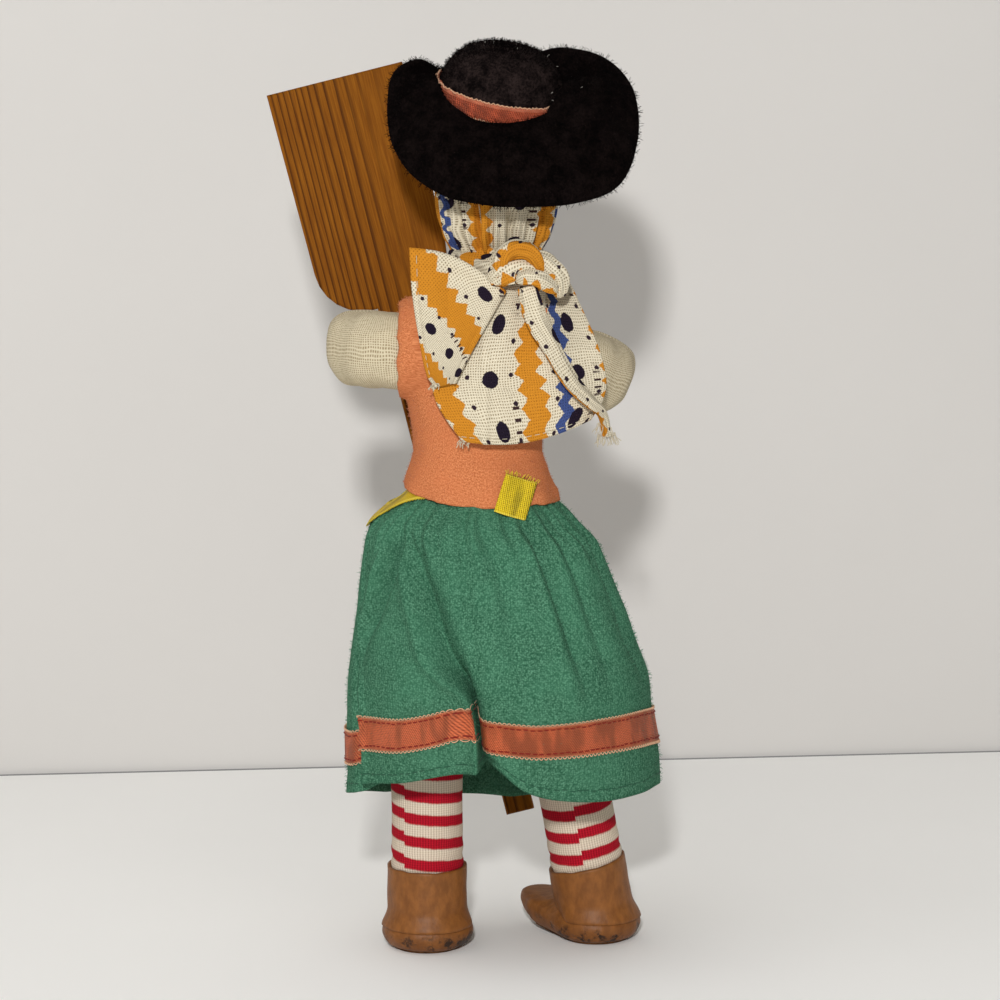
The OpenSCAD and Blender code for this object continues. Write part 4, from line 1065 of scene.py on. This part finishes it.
# %% Muslin finish
def muslin_finish(name, band, blue_share):
    """Open muslin with a block print; band is half the width of its ochre bands."""
    coat = Coat(name, 0.9, 0.08)
    across, along = coat.cloth_ways()

    def from_line(way, pitch, start=0.0):
        """Distance from the nearest of many lines that are a pitch apart."""
        saw = coat.sums("PINGPONG", coat.plus(way, pitch / 2 - start), pitch / 2)
        return coat.sums("SUBTRACT", pitch / 2, saw)

    def from_spot(first, second):
        return coat.sums("SQRT", coat.plus(coat.sums("POWER", first, 2.0), coat.sums("POWER", second, 2.0)))

    sway = coat.times(coat.speckle(150), 1.2)
    warp, weft = (coat.strands(coat.plus(way, sway), 0.5) for way in (across, along))
    weave = coat.scaled(coat.speckle(1500), 0.5, coat.times(coat.sums("MAXIMUM", warp, weft), 0.8))
    jitter = coat.scaled(coat.speckle(1400, 3), 1.0, -0.5)
    drift = coat.scaled(coat.speckle(110), 3.0, -1.5)
    zigzag = coat.scaled(coat.sums("PINGPONG", along, 1.7), 0.9, coat.plus(across, drift))
    ochre = coat.steps(coat.plus(from_line(zigzag, 16, 4.0), jitter), band + 0.15, band - 0.1)
    blue = coat.steps(coat.plus(from_line(zigzag, 32, 26), jitter), 1.2, 1.0)
    oval = from_spot(from_line(across, 16, 11.8), coat.times(from_line(along, 9, 2.0), 0.85))
    ovals = coat.steps(coat.scaled(jitter, 0.5, oval), 1.5, 1.35)
    dot = from_spot(from_line(across, 8, 7.6), from_line(along, 5.6, 0.5))
    dots = coat.steps(coat.scaled(jitter, 0.4, dot), 0.5, 0.38)
    column = coat.sums("SUBTRACT", from_line(across, 16, 15.4), 0.4)
    dash = coat.sums("MAXIMUM", from_line(along, 1.8), column)
    dashes = coat.times(coat.steps(dash, 0.3, 0.2), coat.steps(coat.speckle(90, 1), 0.45, 0.5))
    ground = coat.mix(coat.steps(weave, 0.3, 0.95), (174, 160, 132), (218, 208, 184))
    for share, colour in ((ochre, (198, 130, 38)), (coat.times(blue, blue_share), (62, 78, 128)),
                          (ovals, (32, 24, 38)), (dots, (46, 34, 44)), (dashes, (58, 40, 40))):
        ground = coat.mix(share, ground, colour)
    gaps = coat.mix(coat.steps(weave, 0.15, 0.62), (176, 166, 150), (255, 255, 255))
    return coat.done(coat.mix(1.0, ground, gaps, "MULTIPLY"), weave, 0.0002, 0.7)


muslin = muslin_finish("print_muslin", 2.2, 1.0)
flap_print = muslin_finish("flap_muslin", 3.0, 0.0)
ochre_muslin = muslin_finish("ochre_muslin", 4.6, 0.0)
print("muslin print")

# %% Hood
HEAD_Z, HEAD_R, HEAD_UP, HEAD_DOWN, HEAD_POWER = 156.5, 11.4, 22.5, 16, 2.2
HOOD_LOW, HOOD_TOP = 141, 172
FACE_Z, FACE_R = 155.5, 9.6
# Height and radius
hood_rise = [[HOOD_LOW, 8.8], [142.2, 9.4], [143.8, 10.4], [146.2, 11.2], [150, 11.9], [154, 12.1],
             [158, 12.1], [162, 11.7], [166, 11], [HOOD_TOP, 8.8]]


def hood_spot(u, v):
    z = HOOD_LOW + (HOOD_TOP - HOOD_LOW) * v
    turn = radians(90 + 360 * u)
    radius = between(hood_rise, z)[0]
    valley = abs(cos(9.5 * turn + 1.5 * wavy_round(31, turn, 2, z / 12))) ** 5
    pleats = 0.4 * sin(31 * turn + 1) - 2.2 * valley
    radius += (1.05 - ease(z, 143, 158)) * pleats
    radius += 0.4 * wavy_round(32, turn, 2, z / 8) * (1 - ease(z, 160, 166))
    return NECK_X + radius * cos(turn), radius * sin(turn), z


def over_face(face):
    x, y, z = centre(face)
    return y > 0 and hypot(x - NECK_X, z - FACE_Z) < FACE_R


hood_cut = cut_cloth((0.078, 0.034), 220, 54, hood_spot)
cut_holes(hood_cut, over_face)
hood = make_piece(hood_cut, (NECK_X, 0, 155), "hood_muslin", muslin, "head", ("scarf_hood",),
                  MUSLIN_THICK)

# %% Neck roll and knot
def roll_spot(u, v):
    turn, round_turn = radians(360 * u), radians(360 * v)
    pleat = 0.3 * sin(5 * round_turn + 3 * turn + 2 * wavy_round(33, turn, 2, 0))
    radius = 7.9 + (2.1 + pleat) * cos(round_turn)
    return NECK_X + radius * cos(turn), radius * sin(turn), 137.7 + (4.3 + pleat) * sin(round_turn)


make_piece(cut_cloth((0.052, 0.018), 110, 50, roll_spot), None, "neck_roll_muslin", muslin, "torso",
           ("scarf_collar",))


def strip_spot(path, wide, thick, twist, ends, u, v):
    """A soft strip of folded cloth along a smooth path: oval, turned as it goes, narrower at its ends."""
    rows = [[k / (len(path) - 1), *p] for k, p in enumerate(path)]
    here = Vector(between(rows, v))
    ahead = Vector(between(rows, min(v + 0.02, 1))) - Vector(between(rows, max(v - 0.02, 0)))
    ahead.normalize()
    aside = ahead.cross(Vector((0, 1, 0))).normalized()
    out = aside.cross(ahead)
    turn, roll = radians(360 * u), radians(twist * v)
    crease = 1 + 0.13 * sin(5 * turn + 6 * v) + 0.07 * sin(9 * turn + 2 - 4 * v)
    crease *= 1 - (1 - ends) * abs(2 * v - 1) ** 5
    x, y = wide * cos(turn) * crease, thick * sin(turn) * crease
    return here + aside * (x * cos(roll) - y * sin(roll)) + out * (x * sin(roll) + y * cos(roll))


def tie_strip(name, size, shape, finish, stands_for, path):
    strip_cut = cut_cloth(size, 44, 60, lambda u, v: strip_spot(path, *shape, u, v))
    make_piece(strip_cut, None, name, finish, "torso", stands_for)


# Cut, then half width, half thickness, twist and width at the ends
knot = (("loop", (0.01, 0.02), (1.9, 1.6, 90, 0.5), ochre_muslin, ("scarf_knot",),
         [(4.4, -14.2, 136.4), (4.7, -15, 140.2), (7.2, -16, 142.2), (10.4, -16, 141.4),
          (12.4, -15.2, 137.4)]),
        ("left_root", (0.012, 0.012), (2.6, 2, 40, 0.9), muslin, (),
         [(0.5, -8.4, 138), (4, -12, 138), (8.4, -15, 137.6)]),
        ("right_root", (0.012, 0.012), (2.2, 1.9, 40, 0.9), muslin, (),
         [(12.8, -7.2, 137.4), (13.4, -11, 137.6), (11.4, -14.8, 137.8)]),
        ("heart", (0.012, 0.012), (2.5, 1.8, 50, 0.5), ochre_muslin, (),
         [(2.6, -13, 136), (6, -14.6, 138), (9.6, -15, 138.6), (12.6, -14.2, 136.6)]),
        ("bar", (0.009, 0.012), (1.5, 1.3, 40, 0.4), muslin, (),
         [(7.6, -16.2, 136.2), (9.8, -17.2, 136.9), (12.4, -17.2, 136.2), (15.4, -15.2, 134.2)]),
        ("side", (0.009, 0.012), (1.8, 1.2, 30, 0.5), muslin, (),
         [(10.4, -14.6, 140.6), (13.4, -15.2, 139.4), (15.8, -14.8, 136.6), (16.2, -13.6, 133)]))
for label, *strip in knot:
    tie_strip("knot_" + label + "_muslin", *strip)

# %% Hanging corners of the scarf
# How far behind the doll's middle its back is, at each height
back_line = [[100, -13.4], [120, -13.6], [134, -12.6], [150, -12.6]]


def scarf_y(x, z, hold):
    """Between the neck roll, where the cloth is held, and the back that it hangs against."""
    on_roll = -sqrt(max(1, 9.5 ** 2 - (x - NECK_X) ** 2))
    on_back = between(back_line, z)[0] + 0.0078 * x * x
    return hold * on_roll + (1 - hold) * on_back


def near_roll(z):
    return min(max((z - 122) / 14.5, 0), 1)


def span_between(left, right, u, v):
    """A place between the left and the right edge of a panel."""
    start, stop = Vector(between(left, v)), Vector(between(right, v))
    return start + (stop - start) * u


# Share of the way up, and the place of both side edges there
cape_left = [[0, -2.8, 104.8], [0.12, -6, 109], [0.25, -8.4, 113.5], [0.4, -8.6, 119], [0.6, -4.5, 128],
             [0.8, 0.5, 135], [1, 4, 139]]
cape_right = [[0, 22.1, 108.6], [0.12, 24.7, 112.8], [0.3, 25, 117.6], [0.5, 23.1, 124.3], [0.7, 19.9, 131.3],
              [0.85, 17.6, 135.5], [1, 12.6, 139]]
flap_left = [[0, -8, 115.5], [0.15, -9.7, 117.9], [0.45, -11.3, 125.4], [0.8, -12.6, 134.3],
             [1, -13.1, 142.4]]
flap_right = [[0, -4.3, 116.3], [0.25, -2, 120.8], [0.5, 0.5, 125.2], [0.75, 3, 129.5], [1, 5.6, 133.9]]
KNOT_X, KNOT_Z = 8, 139


def cape_spot(u, v):
    """A place on the back panel, whose folds fan out from the knot."""
    x, z = span_between(cape_left, cape_right, u, v)
    z -= 2.2 * sin(pi * u) * (1 - ease(v, 0, 0.25))
    fan = atan2(x - KNOT_X, KNOT_Z - z)
    far = min(hypot(x - KNOT_X, KNOT_Z - z) / 16, 1)
    fold = 0.55 * sin(11 * fan + 1) + 0.4 * wavy(35, x / 5, z / 7, 0) - 0.7 * bell(x - 1.4, 0.9)
    return x, scarf_y(x, z, near_roll(z)) - 1.0 + 0.8 * far * fold, z


def flap_spot(u, v):
    """A place on the folded wing, which stands up along its edges."""
    x, z = span_between(flap_left, flap_right, u, v)
    z += 2.2 * sin(pi * u) * ease(v, 0.5, 1)
    fold = 0.45 * wavy(36, x / 5, z / 6, 0) - 0.6 * bell(u - 0.95, 0.06)
    fold -= 0.5 * bell(v - 0.96, 0.04) + 0.3 * bell(u - 0.04, 0.04)
    return x, scarf_y(x, z, near_roll(z) * u * u) - 2.3 + fold, z


cape_cut = cut_cloth((0.032, 0.034), 90, 80, cape_spot, (0.001, 0))
cape = make_piece(cape_cut, (8, 20, 120), "cape_muslin", muslin, "torso", ("scarf_cape",),
                  MUSLIN_THICK, 0)
flap_cut = cut_cloth((0.018, 0.032), 70, 80, flap_spot, (-0.0026, 0.002), -45)
flap = make_piece(flap_cut, (0, 20, 128), "flap_muslin", flap_print, "torso", ("scarf_flap",),
                  MUSLIN_THICK, 0)
tie_strip("tail_muslin", (0.012, 0.036), (2.0, 0.9, 100, 0.85), muslin, ("scarf_tail",),
          [(9.6, -16, 135), (11.5, -16.4, 128.6), (14.1, -16.2, 123.7), (18, -15.2, 116.9),
           (21.8, -14, 112.7), (24.4, -13, 110), (25.2, -12.6, 105.8)])
fringe_thread = thread_finish("muslin_thread", (214, 202, 176))
fringe = []
# Place, heading, number of threads, width of the edge and length
for tuft in (((25.2, -12.6, 106.2), (0, 0, -1), 26, 1.7, 2.6),
             ((-2.4, -14.4, 105), (-0.3, 0, -1), 14, 1.2, 1.5),
             ((-8.2, -16, 116), (-0.4, 0, -1), 8, 0.8, 1.2),
             ((24.2, -13.6, 108.4), (0, 0, -1), 9, 0.9, 2.2),
             ((25.4, -13.6, 107.4), (0, 0, -1), 9, 0.9, 2.2)):
    fringe += frayed(*tuft)
sew("scarf_fringe", fringe, 0.16, fringe_thread, "torso")
raised = Vector((0, 0.35, 0))
hem_run = [Vector(cape_spot(0.02 + 0.012 * k, 0.03)) - raised for k in range(80)]
flap_run = [Vector(flap_spot(0.07, 0.03 + 0.012 * k)) - raised for k in range(80)]
hem_runs = [run[k:k + 4] for run in (hem_run, flap_run) for k in range(0, 76, 5)]
sew("scarf_hem_stitches", hem_runs, 0.14, fringe_thread, "torso")

# %% [markdown]
# ## Yellow ribbons
# A yellow ribbon goes round the doll's left side under the bodice, and a short end of it is sewn on at
# the back.

# %% Yellow ribbons
SASH_W, SASH_START, SASH_SPAN, SASH_LOOPS, SASH_SHOWN = 4.2, 100, 128, 54, 41
TAB_W, TAB_TALL, TAB_TURN = 6.5, 7.4, radians(19)
yellow = ribbon_finish("yellow_ribbon", (236, 206, 34), (176, 140, 12), (238, 214, 80), SASH_W, 0.45)
yellow_thread = thread_finish("yellow_thread", (236, 208, 54))
# Direction, and height of the lower edge
sash_low = [[100, 91], [130, 88.4], [160, 86.6], [178, 86.4], [188, 87.6], [198, 90], [208, 91.8],
            [218, 92.8], [228, 93.2]]


def sash_place(angle, along, out=1.05):
    tuck = 2.2 * ease(angle, 206, 222) * ease(along, 0, 3)
    return skirt_spot(angle, between(sash_low, angle)[0] + along, out - tuck, 0.1)


sash_cut = cut_cloth((0.044, SASH_W * MM), 100, 10,
                     lambda u, v: sash_place(SASH_START + SASH_SPAN * u, SASH_W * v, 1.1))
make_piece(sash_cut, (0, 0, 86), "waist_ribbon_satin", yellow, "torso", ("waist_ribbon",),
           RIBBON_THICK)
low_loops, top_loops = (picots(sash_place, level, reach, SASH_LOOPS, POINTED, SASH_START, SASH_SPAN)
                        for level, reach in ((0, -0.35), (SASH_W, 0.35)))
# The upper loops end where the bodice covers the ribbon
sew("sash_loops", low_loops + top_loops[:SASH_SHOWN], 0.17, yellow_thread, "torso")


def tab_spot(u, v):
    aside, up = TAB_W * (u - 0.5), TAB_TALL * (v - 0.5)
    x = 7.5 + aside * cos(TAB_TURN) + up * sin(TAB_TURN)
    z = 93.7 + up * cos(TAB_TURN) - aside * sin(TAB_TURN)
    bulge = sqrt(1 - (x / 16) ** 2)
    return x, -(13.2 + 0.44 * (97.4 - z)) * bulge - 0.15 * sin(4 * v + 5 * u), z


tab_yellow = ribbon_finish("tab_ribbon", (250, 222, 40), (186, 148, 12), (238, 214, 80), TAB_TALL, 0.45)
tab_cut = cut_cloth((TAB_W * MM, TAB_TALL * MM), 18, 20, tab_spot)
make_piece(tab_cut, (8, 20, 94), "waist_tab_satin", tab_yellow, "torso", ("waist_tab",),
           RIBBON_THICK)
tab_fringe = []
for k in range(22):
    tab_fringe += frayed(tab_spot(k / 21, 1), (0.33, -0.2, 0.95), 1, 0.1, 0.9)
sew("tab_fringe", tab_fringe, 0.14, yellow_thread, "torso")

# %% [markdown]
# ## Head and face
# The face is a plain doll's face on a linen ball: two black beads, a small padded nose and a stitched
# mouth.

# %% Head
# On the face: how far aside and how high, how far it stands out, and how wide it is
face_bumps = ((0, 154, 2.2, 1.7), (5.5, 151.5, 0.5, 2.4), (4, HEAD_Z + 1, 0.75, 1.6))


def head_radius(z):
    if z > HEAD_Z:
        return HEAD_R * (1 - ((z - HEAD_Z) / HEAD_UP) ** HEAD_POWER) ** (1 / HEAD_POWER)
    return HEAD_R * sqrt(1 - ((HEAD_Z - z) / HEAD_DOWN) ** 2)


def head_spot(u, v):
    low, top = 141.9, HEAD_Z + 22.4
    z = low + (top - low) * sin(pi / 2 * v)
    turn = radians(90 + 360 * u)
    radius = head_radius(z) if v < 0.999 else 0
    x, y = radius * cos(turn), radius * sin(turn)
    if y > 0:
        for aside, high, out, wide in face_bumps:
            y += out * bell(abs(x) - aside, wide) * bell(z - high, wide)
    return NECK_X + x, y, z


head = make_piece(cut_cloth((0.072, 0.05), 110, 90, head_spot), (NECK_X, 0, 158), "linen_head", linen, "head",
                  ("head_skin", "nose"))
mouth_run = []
for k in range(9):
    x = -2.4 + 0.6 * k
    z = 149.5 + 0.12 * x * x
    mouth_run.append((NECK_X + x, sqrt(head_radius(z) ** 2 - x * x) + 0.15, z))
mouth = sew("mouth_stitches", [mouth_run[k:k + 2] for k in range(8)], 0.5, red_thread, "head")
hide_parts("mouth")

# %% [markdown]
# ## Loose fibres
# Felt and napped wool are never quite smooth: short fibres stand up all over them and show best along
# their outline. They are very thin threads that start in the middle of a face chosen at random, half of
# them on faces that the camera sees from the side.

# %% Fibres
def fibres(name, piece, count, length, thick, finish, body):
    runs = []
    faces = piece.data.polygons
    rims = [face for face in faces if abs(face.normal.y) < 0.6]
    for k in range(count):
        face = random.choice(rims if k % 2 else faces)
        root = face.center / MM - MIDDLE
        way = (face.normal + jog(1, 1, 1)).normalized() * length * random.uniform(0.4, 1.3)
        bend = jog(0.3, 0.3, 0.3) * length
        runs.append([root, root + 0.55 * way, root + way + bend])
    sew(name, runs, thick, finish, body)


black_thread = thread_finish("black_fibre", (14, 10, 10), 0.0)
green_thread = thread_finish("green_fibre", (84, 146, 114))
salmon_thread = thread_finish("salmon_fibre", (216, 140, 104))
lint_thread = thread_finish("lint", (205, 200, 190))
fibres("brim_fibres", brim, 11000, 0.85, 0.075, black_thread, "head")
fibres("crown_fibres", crown, 4200, 0.6, 0.07, black_thread, "head")
fibres("brim_lint", brim, 22, 0.45, 0.08, lint_thread, "head")
fibres("crown_lint", crown, 16, 0.7, 0.08, lint_thread, "head")
fibres("skirt_fibres", skirt, 9000, 0.55, 0.06, green_thread, "torso")
fibres("bodice_fibres", bodice, 2400, 0.4, 0.05, salmon_thread, "torso")

# %% [markdown]
# ## Hidden pieces
# The wires and the stuffing hardly show, but they and the eye beads still get their own finishes.

# %% Finishes of the CAD pieces
steel = plain_finish("steel_wire", ((140, 140, 144), (190, 190, 192)), (1500, 2), 0.4, metal=1.0)
coat = Coat("cotton_stuffing", 1.0, sheen=0.2, where="Object")
tuft = coat.speckle(700, 4)
cotton = coat.done(coat.mix(tuft, (206, 200, 186), (240, 236, 226)), tuft, 0.0006)
bead = plain_finish("black_bead", ((8, 8, 9), (26, 24, 26)), (600, 1), 0.12, 0.6)
for node_name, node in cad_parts.items():
    for ending, finish in (("_wire", steel), ("_stuffing", cotton), ("eyes", bead)):
        if node_name.endswith(ending):
            node.data.materials.clear()
            node.data.materials.append(finish)
print("finishes on the frame's own pieces")

# %% [markdown]
# ## The end
# Every garment is now cut, placed, and rides on the body part that wears it.

# %% End
print("every garment is cut and placed")
